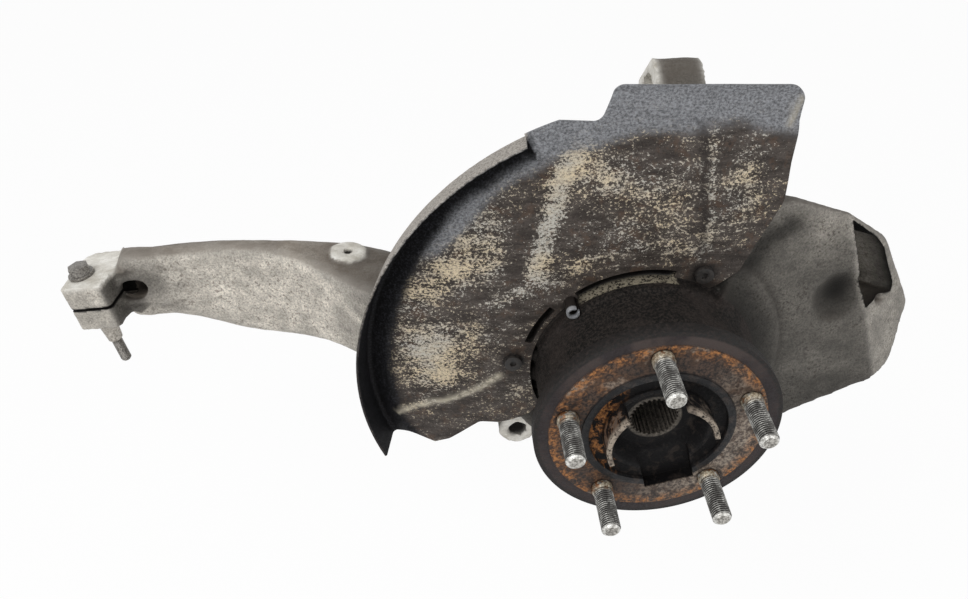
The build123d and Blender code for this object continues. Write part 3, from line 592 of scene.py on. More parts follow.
# The clamp's own frame: U along the arm, V inboard, W up, from the block's outer top corner.
CLAMP_CORNER = np.array((-0.3934, 0.1531, 0.0103))
CLAMP_U = np.array((0.972683, -0.154058, 0.173648))
CLAMP_W = np.array((-0.171513, 0.027165, 0.984808))
CLAMP_V = np.cross(CLAMP_W, CLAMP_U)
CLAMP_AXES = np.stack([CLAMP_U, CLAMP_V, CLAMP_W])
CLAMP_LENGTH = 0.032
BORE_V, BORE_W, BORE_RADIUS = 0.02995, -0.019, 0.008
BORE_SIDES = 64
SLIT_WIDTH = 0.002
SLIT_REACH = 0.041
# What is machined: the clamp's block, rings round the hub's axis (a radius, and the depths
# between which all inside it is machined), the eye's bore and ends, and the lugs' faces.
MACHINED_CLAMP = (0.0335, -0.003)
MACHINED_RINGS = (
    (0.0475, -1.0, 0.0750),  # the bearing's seat
    (0.0705, 0.0490, 0.0600),  # the spigot ring
    (0.0660, -1.0, 0.0195),  # the barrel's end face
)
EYE_Y, EYE_Z, EYE_RADIUS = 0.104, 0.166, 0.026
EYE_BORE = 0.0150
EYE_ENDS = (-0.0022, 0.0242)
LUG_X, LUG_Z = 0.075, -0.074
LUG_FACE = (0.0145, 0.0790)
PAD_X, PAD_Y, PAD_RADIUS = -189, 154, 12.6  # millimetres, as the marks below
# The web's end facet runs down along its ridge; the window's corners are given on it, in metres
# down the ridge and across from it.
FACET_CORNER = np.array((0.126, 0.0765, 0.095))
FACET_DOWN = np.array((0.34818, 0.0, -0.93743))
FACET_NORMAL = np.array((0.57714, -0.78801, 0.21436))
FACET_ACROSS = np.cross(FACET_NORMAL, FACET_DOWN)
WINDOW_OUTLINE = (
    (0.0015, 0.0012), (0.0762, 0.0010), (0.0795, 0.0190), (0.0860, 0.0310),
    (0.0810, 0.0345), (0.0580, 0.0305), (0.0450, 0.0290), (0.0320, 0.0230),
)
WINDOW_CORNER = 0.0022
# Boxes that fill the clamp's slit and bore: the inset along the arm at both ends, and where each
# begins and ends across it. All stop short of the block's rounded edges.
FILLERS = ((0.00005, 0.003, 0.036), (0.003, 0.00005, 0.040), (0.0009, 0.0009, 0.036))
FILLER_W = (-0.0275, -0.0105)
# Thumb marks on the arm's front: place, reach and depth.
THUMB_MARKS = (
    ((-0.3100, 0.171, -0.001), 0.0060, 0.0022),
    ((-0.3280, 0.171, 0.004), 0.0075, 0.0020),
    ((-0.3350, 0.171, 0.001), 0.0060, 0.0020),
)


def mesh_arrays(piece):
    """The piece's points and its edges, as arrays."""
    mesh = piece.data
    points = np.empty(len(mesh.vertices) * 3)
    mesh.vertices.foreach_get("co", points)
    edges = np.empty(len(mesh.edges) * 2, int)
    mesh.edges.foreach_get("vertices", edges)
    return points.reshape(-1, 3), edges.reshape(-1, 2)


def put_points(piece, points):
    piece.data.vertices.foreach_set("co", np.ascontiguousarray(points, np.float32).ravel())
    piece.data.update()


def relaxed(values, edges, weight, rounds):
    """Moves each point's row of values towards the mean of its neighbours' rows, by its own
    weight, so many times."""
    count = np.bincount(edges.ravel(), minlength=len(values)).astype(float)
    count[count == 0] = 1
    weight = np.reshape(weight, (-1, 1))
    for _ in range(rounds):
        columns = [
            np.bincount(edges[:, 0], column[edges[:, 1]], len(values))
            + np.bincount(edges[:, 1], column[edges[:, 0]], len(values))
            for column in values.T
        ]
        values = values + weight * (np.stack(columns, -1) / count[:, None] - values)
    return values


def lumps(points, size, seed):
    """Smooth random heights from -1 to 1: random values on a lattice of that size, blended
    between its corners."""
    cell = np.floor(points / size).astype(np.int64)
    part = points / size - cell
    part = part * part * (3 - 2 * part)
    total = np.zeros(len(points))
    for corner in np.ndindex(2, 2, 2):
        x, y, z = (cell + corner).T
        mixed = x * 374761393 + y * 668265263 + z * 2147483647 + seed * 974711
        mixed = (mixed ^ (mixed >> 13)) * 1274126177
        value = ((mixed ^ (mixed >> 16)) & 0xFFFF) / 32767.5 - 1
        total += value * np.where(corner, part, 1 - part).prod(1)
    return total


def step(value, start, end):
    """0 before start, 1 after end, and an even curve between."""
    share = np.clip((value - start) / (end - start), 0, 1)
    return share * share * (3 - 2 * share)


def near_line(x, z, line, reach):
    """1 on a broken line in the wheel's plane, falling off smoothly with distance from it."""
    nearest = np.full(len(x), 1e9)
    for (ax, az), (bx, bz) in zip(line, line[1:]):
        run = np.array((bx - ax, bz - az))
        share = np.clip(((x - ax) * run[0] + (z - az) * run[1]) / (run @ run), 0, 1)
        nearest = np.minimum(nearest, np.hypot(x - ax - share * run[0], z - az - share * run[1]))
    return np.exp(-((nearest / reach) ** 2))


def near_spot(x, z, middle, spread):
    """1 at a spot in the wheel's plane, falling off smoothly by its spread across and up."""
    return np.exp(-(((x - middle[0]) / spread[0]) ** 2) - ((z - middle[1]) / spread[1]) ** 2)


def in_clamp(points):
    """Points given in the clamp's own frame: along the arm, inboard, and up."""
    return (points - CLAMP_CORNER) @ CLAMP_AXES.T


def from_clamp(points):
    return CLAMP_CORNER + np.asarray(points) @ CLAMP_AXES


def block(low, high):
    """Corners and faces of a box between two corners of the clamp's frame."""
    corners = [
        (x, y, z) for x in (low[0], high[0]) for y in (low[1], high[1]) for z in (low[2], high[2])
    ]
    faces = [(0, 1, 3, 2), (4, 6, 7, 5), (0, 4, 5, 1), (2, 3, 7, 6), (0, 2, 6, 4), (1, 5, 7, 3)]
    return from_clamp(corners), faces


def prism(near, far):
    """Points and faces of a closed prism between two like rings of points."""
    count = len(near)
    walls = [(k, (k + 1) % count, count + (k + 1) % count, count + k) for k in range(count)]
    ends = [tuple(range(count - 1, -1, -1)), tuple(range(count, 2 * count))]
    return np.vstack([near, far]), walls + ends


def window_prism(top, bottom):
    """The window's outline, its corners rounded, carried between two heights over the facet.
    Each corner is a curve (1-t)^2 a + 2t(1-t) corner + t^2 b between its edges."""
    corners = np.array(WINDOW_OUTLINE)
    before, after = np.roll(corners, 1, 0) - corners, np.roll(corners, -1, 0) - corners
    before *= WINDOW_CORNER / np.linalg.norm(before, axis=1, keepdims=True)
    after *= WINDOW_CORNER / np.linalg.norm(after, axis=1, keepdims=True)
    t = np.linspace(0, 1, 5)[None, :, None]
    ring = corners[:, None] + (1 - t) ** 2 * before[:, None] + t**2 * after[:, None]
    ring = ring.reshape(-1, 2)
    flat = FACET_CORNER + ring[:, :1] * FACET_DOWN + ring[:, 1:] * FACET_ACROSS
    return prism(flat + top * FACET_NORMAL, flat + bottom * FACET_NORMAL)


def bore_prism(start, stop):
    """The round bore across the clamp's slit, between two places along the arm."""
    turn = np.linspace(0, 2 * np.pi, BORE_SIDES, endpoint=False)
    ring = np.stack([BORE_V + BORE_RADIUS * np.cos(turn), BORE_W + BORE_RADIUS * np.sin(turn)], -1)
    return prism(*(from_clamp(np.insert(ring, 0, u, axis=1)) for u in (start, stop)))


def cut_out(piece, cutter, brightness):
    """Takes the cutter's shape out of the piece and removes the cutter. The new walls get that
    brightness, from 0 to 255."""
    mark_points(cutter, "level", np.full(len(cutter.data.vertices), (brightness / 255) ** 2.2))
    cut = piece.modifiers.new("cut", "BOOLEAN")
    cut.operation = "DIFFERENCE"
    cut.solver = "EXACT"
    cut.object = cutter
    apply_modifiers(piece)
    bpy.data.objects.remove(cutter)


casting = merged_copy("knuckle_casting", "casting")
# The clamp's slit and bore are narrower than the cells and the window's edges are sharper, so
# they're filled here and cut again below.
plugged = bmesh.new()
plugged.from_mesh(casting.data)
plugs = [
    block((inset, near, FILLER_W[0]), (CLAMP_LENGTH - inset, far, FILLER_W[1]))
    for inset, near, far in FILLERS
]
for corners, faces in (*plugs, window_prism(-0.0004, -0.0325)):
    made = [plugged.verts.new(corner) for corner in corners]
    new_faces = [plugged.faces.new([made[k] for k in face]) for face in faces]
    bmesh.ops.recalc_face_normals(plugged, faces=new_faces)
plugged.to_mesh(casting.data)
true_faces = BVHTree.FromBMesh(plugged)
plugged.free()
cells = casting.modifiers.new("cells", "REMESH")
cells.mode = "VOXEL"
cells.voxel_size = CASTING_CELL
apply_modifiers(casting)

points, edges = mesh_arrays(casting)
x, y, z = points.T
radius = np.hypot(x, z)
u, v, _ = in_clamp(points).T
machined = (u < MACHINED_CLAMP[0]) & (v > MACHINED_CLAMP[1])
for ring_radius, near, far in MACHINED_RINGS:
    machined |= (radius < ring_radius) & (y > near) & (y < far)
eye_radius = np.hypot(y - EYE_Y, z - EYE_Z)
eye_part = (eye_radius < EYE_RADIUS) & (x > -0.006) & (x < 0.028)
machined |= eye_part & ((eye_radius < EYE_BORE) | (x < EYE_ENDS[0]) | (x > EYE_ENDS[1]))
machined |= (np.hypot(np.abs(x) - LUG_X, z - LUG_Z) < LUG_FACE[0]) & (y < LUG_FACE[1])
firm = np.clip(relaxed(machined[:, None].astype(float), edges, 0.5, 2)[:, 0] * 2, 0, 1)
rough = relaxed(points, edges, 0.55 * (1 - firm), CAST_ROUNDS)
# Machined faces lie exactly where they should, and the cast ones nearly so.
pull = np.array([true_faces.find_nearest(point)[0] for point in rough]) - rough
close = (pull**2).sum(1) < SNAP_REACH**2
rough += pull * (close * (0.45 + 0.55 * firm))[:, None]
# How far smoothing moved a point outwards or inwards tells the worn corners from the hollows.
put_points(casting, rough)
normals = np.empty(rough.size)
casting.data.vertices.foreach_get("normal", normals)
normals = normals.reshape(-1, 3)
bulge = ((rough - relaxed(rough, edges, 0.6, 10)) * normals).sum(1)
worn = np.clip(bulge / WEAR_DEPTH, 0, 1)
grime_and_shade = np.clip(-bulge / WEAR_DEPTH, 0, 1)
# The casting's skin waves a little, and the arm's front has shallow thumb marks.
waves = 0.00040 * lumps(rough, 0.035, 3) + 0.00022 * lumps(rough, 0.012, 5)
waves += 0.00016 * lumps(rough, 0.0055, 8)
skin = rough + normals * (waves * (1 - firm))[:, None]
for place, mark_reach, depth in THUMB_MARKS:
    gap = np.hypot(skin[:, 0] - place[0], (skin[:, 2] - place[2]) * 0.8)
    facing = np.clip(-normals[:, 1], 0, 1) * (np.abs(skin[:, 1] - place[1]) < 0.016)
    skin[:, 1] += depth * np.exp(-((gap / mark_reach) ** 2)) * facing
put_points(casting, skin)

# From here on x, y, z and the clamp's u, v, w are in millimetres.
x, y, z = skin.T * 1000
u, v, w = in_clamp(skin).T * 1000
reach = np.hypot(x, z)
past_ridge = step((x - 126) * 0.937 + (z - 95) * 0.348, -3, 2)
facing_out = np.clip(-normals[:, 1] * 2, 0, 1)
clamp_side = step(u, 27, 32) * (1 - step(u, 40, 50)) * (v < 22)
clamp_top = step(w, -2.6, -0.6) * (1 - step(u, 33, 36))
clamp_rough = (u < 36) * (v > -3) * (1 - clamp_top)
# How bright the skin is at each point, from 0 to 255. Each row draws it towards a brightness, by
# a share between 0 and 1.
level = np.full(len(skin), 92.0)
for brightness, share in (
    # Near black round the barrel, lighter towards the steering arm, the web and past its ridge; the
    # paler upper web and the facet past the ridge are painted light.
    (38, (1 - step(reach, 68, 100)) * (1 - step(y, 100, 125))),
    (132, step(z, 58, 104) * step(x, 60, 84)),
    (70, step(-z, 10, 50) * (x > 0)),
    (142, past_ridge * step(x, 100, 120)),
    (124, step(z, 125, 145)),
    (150, step(-z, 56, 66) * (reach < 105) * (y < 90)),
    # The gooseneck arm is palest.
    (128, step(-x, 84, 130)),
    (186, step(-x, 150, 215)),
    # Painted shade in the web's dimple, the shield's painted shadow and a painted highlight along
    # the ridge.
    (30, 0.95 * near_spot(x, z, (131, 40), (11, 14)) * (y < 84)),
    (50, 0.85 * near_line(x, z, ((61, 71), (73, 88), (86, 96)), 9) * (y < 90)),
    (150, 0.5 * near_line(x, z, ((126, 95), (152, 25)), 2.5) * (y < 90)),
    (120, 0.35 * near_line(x, z, ((90, 60), (105, 75)), 12) * (y < 90)),
    # Grime in the arm's hollow and round the clamp's hole, and the arm's rubbed front with a
    # painted highlight along its crease.
    (96, 0.75 * near_spot(x, z, (-341, -3), (15, 13)) * facing_out),
    (98, 0.75 * near_spot(x, z, (-343, 2), (26, 19)) * (u > 28)),
    (128, 0.55 * near_spot(x, z, (-322, -14), (30, 9))),
    (222, 0.6 * near_line(x, z, ((-233, 38), (-209, 23), (-183, 2)), 4) * (y > 90)),
    (208, 0.5 * near_spot(x, z, (-296, -10), (44, 9))),
    # The clamp's slanted side is dark and its block is dull below the milled top.
    (84, 0.85 * clamp_side * (w < -3)),
    (182, 0.9 * clamp_rough * (1 - clamp_side)),
):
    level += (brightness - level) * share
bright = np.maximum(firm, clamp_top) * (1 - clamp_rough)
bright[(np.hypot(x - PAD_X, y - PAD_Y) < PAD_RADIUS) & (z > 32.0)] = 1.0
for mark, values in (
    ("worn", worn),
    ("grime_and_shade", grime_and_shade),
    ("milled", relaxed(bright[:, None], edges, 0.5, 1)[:, 0]),
    ("level", (level / 255) ** 2.2),
):
    mark_points(casting, mark, values)

# The bore for the ball joint's stud, the slit and the window are cut sharp after the skin is made;
# their new walls are painted near black as shade inside them.
slit = block(
    (-0.001, -0.001, BORE_W - SLIT_WIDTH / 2), (SLIT_REACH, BORE_V, BORE_W + SLIT_WIDTH / 2)
)
cut_out(casting, add_piece("bore_cutter", *bore_prism(-0.002, CLAMP_LENGTH + 0.004)), 18)
cut_out(casting, add_piece("slit_cutter", *slit), 12)
cut_out(casting, add_piece("window_cutter", *window_prism(0.006, -0.032)), 26)
smooth_but_edges(casting, 40)

alloy = Finish("cast_aluminium")
alloy_fine = alloy.cloud(0.0014, 4, 0.72)
alloy_mid = alloy.cloud(0.009, 5, 0.66, stretch=(0.6, 1, 1), seed=2.0)
alloy_broad = alloy.cloud(0.030, 4, 0.55, seed=5.0)
level_mark, milled_mark = alloy.marked("level"), alloy.marked("milled")
casting_x, casting_y, casting_z = (alloy.along(axis) for axis in "XYZ")
hub_distance = alloy.from_axis()
# The skin's own brightness, made uneven by stains of three sizes.
skin_level = alloy.times(
    level_mark,
    alloy.between(alloy_broad, 0.38, 0.62, 0.82, 1.20),
    alloy.between(alloy_mid, 0.36, 0.64, 0.80, 1.20),
    alloy.between(alloy_fine, 0.40, 0.60, 0.70, 1.28),
)
alloy.color = alloy.blend(skin_level, (0.0, 0.0, 0.0), (1.0, 0.928, 0.815))
# Fine dark pores, brown on the pale skin.
pores = alloy.times(
    alloy.between(alloy.cloud(0.0022, 3, 0.65, seed=9.0), 0.56, 0.61),
    0.60,
    alloy.between(alloy_broad, 0.44, 0.56, 0.35, 1.0),
)
alloy.lay(pores, alloy.blend(skin_level, tone(14, 12, 11), tone(122, 106, 92)))
# Faces that look up are darker, settled dirt with painted shade; the hollows are darker, grime with
# painted shade; worn corners are paler.
looks_up = alloy.part(alloy.coordinates.outputs["Normal"], "Z")
settled_dirt_and_shade = alloy.times(
    alloy.between(looks_up, 0.35, 0.80), alloy.between(alloy_mid, 0.36, 0.60, 0.60, 1.0)
)
for share, dark, pale_tone in (
    (settled_dirt_and_shade, tone(32, 29, 27), tone(148, 135, 120)),
    (alloy.times(alloy.marked("grime_and_shade"), 0.80), tone(14, 12, 11), tone(92, 78, 68)),
    (alloy.times(alloy.marked("worn"), 0.40), tone(60, 56, 53), tone(236, 230, 220)),
):
    alloy.lay(share, alloy.blend(level_mark, dark, pale_tone))
alloy.lay(
    alloy.times(milled_mark, alloy.between(alloy_fine, 0.30, 0.50, 0.8, 1.0)),
    alloy.mottle(alloy_mid, 0.34, 0.66, tone(196, 191, 180), tone(244, 242, 236)),
)
# The spigot ring and the barrel's lip were milled too, but road film has blackened them again.
barrel_share = alloy.times(
    alloy.between(hub_distance, 0.0735, 0.0725), alloy.between(casting_y, 0.063, 0.062)
)
film_grain = alloy.cloud(0.0016, 4, 0.7, seed=13.0)
film = alloy.mottle(film_grain, 0.44, 0.60, tone(16, 15, 14), tone(50, 45, 42))
film = alloy.blend(alloy.between(alloy_broad, 0.48, 0.62, 0.0, 0.4), film, tone(58, 51, 48))
alloy.lay(barrel_share, film)
# Chalky corrosion is left on the ring's rim under the upper slot.
on_ring = alloy.times(
    alloy.between(hub_distance, 0.0687, 0.0691),
    alloy.between(casting_y, 0.0540, 0.0548),
    barrel_share,
    alloy.between(casting_z, 0.050, 0.058),
    alloy.between(casting_x, 0.0175, 0.0160),
    alloy.between(alloy.cloud(0.002, 4, 0.7, seed=6.0), 0.43, 0.50),
)
alloy.lay(on_ring, tone(150, 142, 124))
# Painted shade in the casting's corners and hollows.
alloy.lay(alloy.between(alloy.hollows(0.014), 0.72, 0.22, 0.0, 0.90), tone(20, 17, 15))
alloy.complete(
    alloy.times(milled_mark, 0.3),
    alloy.between(alloy_fine, 0.3, 0.7, 0.52, 0.80),
    alloy.between(level_mark, 0.0, 0.35, 0.12, 0.45),
)
alloy.relief((alloy_mid, 0.0010, 0.40), (alloy_fine, 0.0009, 0.90))
alloy.on(casting)
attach(casting, "knuckle")
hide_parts("knuckle_casting")

# ------------------------------------------------------------------ pinch bolt and insert
# M8 flange bolt through the clamp, run into a threaded steel insert whose tapered collar shows
# below. Grey zinc-flake steel, dulled; the bolt's end stands out below with its thread.
BOLT_AT = (0.010, 0.017)
BOLT_RADIUS = 0.0039
BOLT_TIP = 0.0795
BOLT_CHAMFER = (0.0014, 0.0012)
BOLT_THREAD_START = 0.040
BOLT_PITCH = 0.00125
BOLT_THREAD_DEPTH = 0.0006
HEAD_CUT = -0.002  # the solid's head is kept from here up; the shank is made new


def below_head(points):
    """Takes points about +Y to the clamp's frame, with +Y going down from under the head."""
    across, down, along = points.T
    return from_clamp(np.stack([BOLT_AT[0] + across, BOLT_AT[1] + along, -down], -1))


bolt_outline = (
    (0.0, BOLT_RADIUS),
    (BOLT_THREAD_START, BOLT_RADIUS),
    (BOLT_TIP - BOLT_CHAMFER[0], BOLT_RADIUS),
    (BOLT_TIP, BOLT_RADIUS - BOLT_CHAMFER[1]),
)
shank_points, shank_faces, _ = threaded_rod(
    bolt_outline, (BOLT_THREAD_START, BOLT_TIP), BOLT_PITCH, BOLT_THREAD_DEPTH, 36
)
shank = add_piece("pinch_bolt_shank", below_head(shank_points), shank_faces)
smooth_but_edges(shank, 50)
bolt_head = merged_copy("pinch_bolt", "pinch_bolt_head")
head_shell = bmesh.new()
head_shell.from_mesh(bolt_head.data)
bmesh.ops.bisect_plane(
    head_shell,
    geom=head_shell.verts[:] + head_shell.edges[:] + head_shell.faces[:],
    plane_co=from_clamp((*BOLT_AT, HEAD_CUT)),
    plane_no=CLAMP_W,
    clear_inner=True,
)
bmesh.ops.holes_fill(head_shell, edges=[e for e in head_shell.edges if e.is_boundary])
head_shell.to_mesh(bolt_head.data)
head_shell.free()
eased(bolt_head, 0.0004)
insert = eased(merged_copy("pinch_bolt_insert", "clamp_insert"), 0.0003)
dull_steel = plain_finish(
    "dull_bolt_steel", tone(78, 75, 71), tone(150, 146, 140), 0.0011, (0.30, 0.52), 0.6
)
insert_steel = plain_finish(
    "insert_steel", tone(120, 114, 106), tone(196, 190, 180), 0.0016, (0.35, 0.6), 0.5
)
for piece, node in (
    (shank, "pinch_bolt"),
    (bolt_head, "pinch_bolt"),
    (insert, "pinch_bolt_insert"),
):
    (insert_steel if piece is insert else dull_steel).on(piece)
    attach(piece, "knuckle")
    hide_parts(node)

# ------------------------------------------------------------------ dust shield
# Pressed steel sheet behind the brake disc, with a raised field on its right, a crease across its
# lower lobe and a turned rim on the left. Its dark coat is chalked and worn to pale specks, brown
# with rust between them, and dusty blue-grey along the outer edge.
# Places on the sheet are (x, z) in millimetres, and angles are degrees round the hub's axis.
SHIELD_CELL = 0.004
SHIELD_SCREWS = ((-81.7, 7.1), (33.0, 70.7))
RIM_SPAN = (115.2, 206)
RIM_ROOT_DEPTH = 78.5
NOTCH_SIDE = (114.7, 115.1)
NOTCH_CLOSED = 115.42
NOTCH_REACH = 0.160
CREASE = ((-157, -40), (-143, -33), (-126, -28), (-109, -20), (-90, -5))
UPPER_FOLD = ((69, 166), (72, 180))
UPPER_LIP = ((-30, 186), (68, 184))
JOGGLE_LINE = ((21, 166), (25, 135), (29, 101), (31, 80))
DUST_FOOT = (
    (-128, 84), (-110, 106), (-91, 128), (-68, 143), (-56, 152),
    (-38, 155), (-12, 160), (19, 162), (41, 165), (80, 158),
)
CREAM_LINE = ((-47, 152), (-55, 138), (-58, 126), (-61, 111), (-65, 98), (-67, 84), (-69, 73))
PALE_PATCHES = (
    # middle, spread across and up, how pale
    ((-104, 98), (26, 30), 0.85),
    ((-122, 74), (24, 20), 0.80),
    ((-141, 52), (14, 30), 0.75),
    ((-136, 18), (26, 26), 1.05),
    ((-131, -4), (18, 16), 1.10),
    ((-112, 28), (26, 16), 0.65),
    ((-30, 136), (26, 18), 0.70),
    ((2, 128), (34, 22), 0.55),
    ((-14, 102), (44, 22), 0.45),
    ((48, 128), (14, 32), 0.70),
    ((-92, -16), (24, 14), 0.45),
    ((-97, 78), (15, 16), 0.85),
)
PALE_STREAKS = (
    # line, reach, how pale
    (((-93, 53), (-83, 59), (-71, 65), (-62, 73)), 7, 0.75),
    (((-62, 66), (-40, 84), (-5, 93), (28, 87)), 6, 0.60),
    (((27, 162), (29, 140), (31, 110), (31, 88)), 3.5, 0.85),
)
DARK_STREAKS = (
    # line, reach, how much it takes away
    (((-66, 150), (-73, 136), (-75, 123), (-77, 106), (-81, 90), (-83, 79)), 6, 0.85),
    (((-142, 42), (-125, 49), (-107, 56), (-90, 67)), 7, 0.60),
)

shield = merged_copy("dust_shield", "shield")
slices = bmesh.new()
slices.from_mesh(shield.data)
# The relief notch at the rim's upper end is pressed almost shut.
for corner in slices.verts:
    turned = np.degrees(np.arctan2(corner.co.z, corner.co.x))
    far_out = np.hypot(corner.co.x, corner.co.z) > NOTCH_REACH
    if NOTCH_SIDE[0] < turned < NOTCH_SIDE[1] and far_out:
        corner.co.rotate(Matrix.Rotation(np.radians(turned - NOTCH_CLOSED), 3, "Y"))
shield_low, shield_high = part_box("dust_shield")
for axis in (0, 2):
    direction = Vector((axis == 0, 0, axis == 2))
    for place in np.arange(shield_low[axis] + SHIELD_CELL / 2, shield_high[axis], SHIELD_CELL):
        bmesh.ops.bisect_plane(
            slices,
            geom=slices.verts[:] + slices.edges[:] + slices.faces[:],
            dist=1e-6,
            plane_co=direction * float(place),
            plane_no=direction,
        )
bmesh.ops.triangulate(slices, faces=slices.faces)
slices.to_mesh(shield.data)
slices.free()

# The solid is flat; its raised field, crease, lobe, fold, lip and dents are pressed in here, and
# fade out round the screws and the hub.
sheet_points, _ = mesh_arrays(shield)
x, _, z = sheet_points.T * 1000
reach = np.hypot(x, z)
angle = np.degrees(np.arctan2(z, x)) % 360
around_screws = np.min([np.hypot(x - at_x, z - at_z) for at_x, at_z in SHIELD_SCREWS], axis=0)
pressed = step(reach, 94, 104) * (1 - step(reach, 168, 174) * (x < -40))
pressed = pressed * step(around_screws, 8, 14)
field = step(x - (31 - (z - 78) * 0.105), -2.2, 2.2) * step(z, 70, 84) * (1 - step(z, 160, 168))
lobe = step(-(z + 40 - (x + 157) * 0.5), 0, 10) * (x < -80)
fold = near_line(x, z, UPPER_FOLD, 2.0)
lip = near_line(x, z, UPPER_LIP, 3.0)
flat_points = sheet_points * (1, 0, 1)
dents = 0.55 * lumps(flat_points, 0.030, 11) + 0.25 * lumps(flat_points, 0.013, 12)
raised = 2.6 * field + 1.3 * near_line(x, z, CREASE, 2.6) - 0.8 * lobe + 1.0 * fold - 0.9 * lip
sheet_points[:, 1] -= 0.001 * pressed * (raised + dents)
put_points(shield, sheet_points)

foot_height = np.interp(x, *np.array(DUST_FOOT).T)
dusty = step(z - foot_height + 2.5 * lumps(sheet_points, 0.014, 21), -3, 5) * step(z, 60, 100)
pale = 1.35 * near_line(x, z, CREAM_LINE, 7.5)
for middle, spread, share in PALE_PATCHES:
    pale = np.maximum(pale, share * near_spot(x, z, middle, spread))
for line, line_reach, share in PALE_STREAKS:
    pale = np.maximum(pale, share * near_line(x, z, line, line_reach))
for line, line_reach, share in DARK_STREAKS:
    pale *= 1 - share * near_line(x, z, line, line_reach)
pale *= 1 - 0.70 * step(x, 60, 68)
pale *= 1 - 0.8 * lobe * step(-x, 60, 90)
pale = np.maximum(pale, 0.65 * near_spot(x, z, (-93, 135), (14, 9)))
# Paler specks along the crease, part of its painted highlight.
pale = np.maximum(pale, 0.60 * near_line(x, z, CREASE, 3.5))
on_rim = (angle > RIM_SPAN[0]) & (angle < RIM_SPAN[1])
# Past the rim's root the sheet is painted near black: painted shade over the dark coat inside the
# turned rim.
rim_root = 157.5 + 5.5 * (1 - step(angle, 130, 165))
rim_inner_shade = on_rim * step(reach + 1.5 * lumps(sheet_points, 0.012, 31), rim_root - 3, rim_root + 4)
# The rim leans outward, so its outer side is told from its inner side by reach and depth together.
leaning = 176.5 + 0.2 * (RIM_ROOT_DEPTH - sheet_points[:, 1] * 1000)
# The rim's outer wall gets painted light.
lit_outer_wall = step(reach - leaning, -1.0, -0.6) * step(reach, 170, 172) * on_rim
for mark, values in (
    ("pale", np.clip(pale, 0, 1.3)),
    ("dusty", np.clip(dusty, 0, 1)),
    ("rim_inner_shade", rim_inner_shade * (1 - lit_outer_wall)),
    ("lit_outer_wall", lit_outer_wall),
    # A painted highlight along the crease and the upper fold.
    ("crease_highlight", np.clip(near_line(x, z, CREASE, 2.0) + 0.6 * fold, 0, 1)),
    # A painted shadow along the joggle's step.
    ("joggle_shadow", near_line(x, z, JOGGLE_LINE, 2.4)),
    # Painted shade, near black, round the screws.
    ("screw_recess_shade", 1 - step(around_screws, 5.5, 9.5)),
):
    mark_points(shield, mark, values)
smooth_but_edges(shield, 40)

coat = Finish("shield_coat")
coat_grain = coat.cloud(0.0012, 3, 0.7, stretch=(0.8, 1, 1))
coat_specks = coat.cloud(0.00135, 4, 0.74, stretch=(0.75, 1, 1), seed=4.0)
coat_streaks = coat.cloud(0.0065, 5, 0.70, stretch=(0.35, 1, 1.1), seed=8.0)
coat_broad = coat.cloud(0.030, 4, 0.6, stretch=(0.6, 1, 1), seed=12.0)
rim_inner_shade_mark = coat.marked("rim_inner_shade")
coat.color = coat.mottle(coat_streaks, 0.40, 0.62, tone(50, 44, 40), tone(80, 73, 68))
coat.lay(coat.between(coat_grain, 0.50, 0.62, 0.0, 0.45), tone(28, 24, 22))
coat_rust = coat.between(coat.cloud(0.008, 5, 0.7, seed=6.0), 0.54, 0.64)
coat.lay(coat.times(coat_rust, 0.35), tone(92, 70, 54))
# Pale specks: how much of them shows follows the marks on the sheet.
mixed = coat.worked(
    "ADD",
    coat.times(coat_specks, 0.62),
    coat.times(coat_streaks, 0.24),
    coat.times(coat_broad, 0.14),
)
threshold = coat.between(coat.marked("pale"), 0.0, 1.3, 0.572, 0.430)
speck_share = coat.between(mixed, threshold, coat.worked("ADD", threshold, 0.030))
chalk = coat.mottle(coat_broad, 0.44, 0.58, tone(190, 187, 178), tone(212, 196, 166))
chalk = coat.mottle(coat_grain, 0.35, 0.55, tone(150, 140, 126), chalk)
coat.lay(coat.times(speck_share, 0.92), chalk)
dust_color = coat.mottle(coat_grain, 0.36, 0.64, tone(82, 83, 86), tone(146, 148, 152))
coat.lay(coat.times(coat.marked("dusty"), 0.92), dust_color)
# Painted shade inside the rim.
coat.lay(rim_inner_shade_mark, coat.mottle(coat_grain, 0.48, 0.64, tone(13, 13, 14), tone(44, 44, 48)))
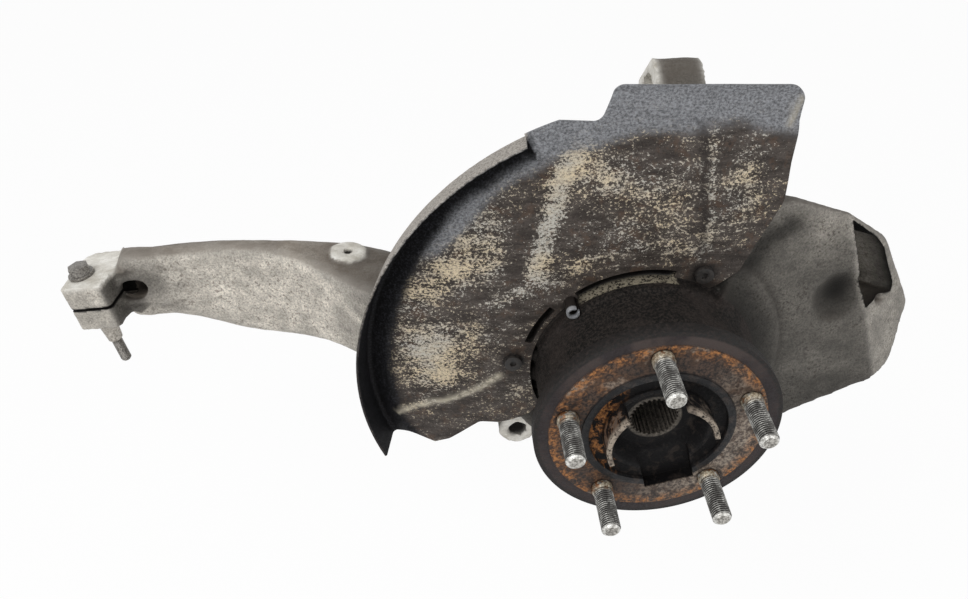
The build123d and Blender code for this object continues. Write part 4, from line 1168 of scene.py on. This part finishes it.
# Painted light on the rim's outer wall, turning to painted shade lower down.
wall_light_and_shade = coat.mottle(coat_grain, 0.38, 0.60, tone(110, 104, 98), tone(182, 176, 168))
wall_light_and_shade = coat.mottle(coat.along("Z"), 0.020, 0.090, tone(34, 33, 34), wall_light_and_shade)
coat.lay(coat.marked("lit_outer_wall"), wall_light_and_shade)
for mark, share, mark_tone in (
    # Painted highlight on the crease and fold.
    ("crease_highlight", 0.8, tone(186, 178, 160)),
    # Painted shadow along the joggle.
    ("joggle_shadow", 0.60, tone(34, 29, 27)),
    # Painted shade round the screws.
    ("screw_recess_shade", 0.94, tone(12, 10, 10)),
):
    coat.lay(coat.times(coat.marked(mark), share), mark_tone)
# Painted shade in the sheet's corners and hollows.
coat.lay(coat.between(coat.hollows(0.012), 0.72, 0.25, 0.0, 0.85), tone(16, 14, 13))
coat.complete(
    0.0,
    coat.between(coat_grain, 0.3, 0.7, 0.48, 0.78),
    coat.between(rim_inner_shade_mark, 0.0, 1.0, 0.25, 0.10),
)
coat.relief((coat_specks, 0.0004, 0.5), (coat_grain, 0.0003, 0.5))
coat.on(shield)
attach(shield, "knuckle")
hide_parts("dust_shield")

# ------------------------------------------------------------------ shield screws and pin
# Two socket-head screws hold the shield to the casting, and a slotted spring pin locates it. The
# screws are black with rust round their heads; the pin's end is rubbed bright.
PIN_RUBBED = (0.0022, 0.0034)  # how far in from the pin's end the rubbed part fades out

screws = eased(merged_copy("shield_screws", "screws"), 0.0003)
pin = eased(merged_copy("shield_pin", "pin"), 0.00015)
screw_steel = plain_finish(
    "screw_steel", tone(9, 8, 8), tone(46, 41, 37), 0.0012, (0.45, 0.7), 0.0
)
pin_steel = plain_finish(
    "pin_steel", tone(120, 122, 126), tone(206, 208, 212), 0.0015, (0.25, 0.5), 0.6
)
pin_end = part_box("shield_pin")[0][1]
pin_fade = (pin_end + PIN_RUBBED[0], pin_end + PIN_RUBBED[1])
pin_color = pin_steel.mottle(pin_steel.along("Y"), *pin_fade, tone(176, 178, 182), tone(52, 47, 44))
pin_steel.set("Base Color", pin_color)
for piece, finish, node in ((screws, screw_steel, "shield_screws"), (pin, pin_steel, "shield_pin")):
    finish.on(piece)
    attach(piece, "knuckle")
    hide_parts(node)
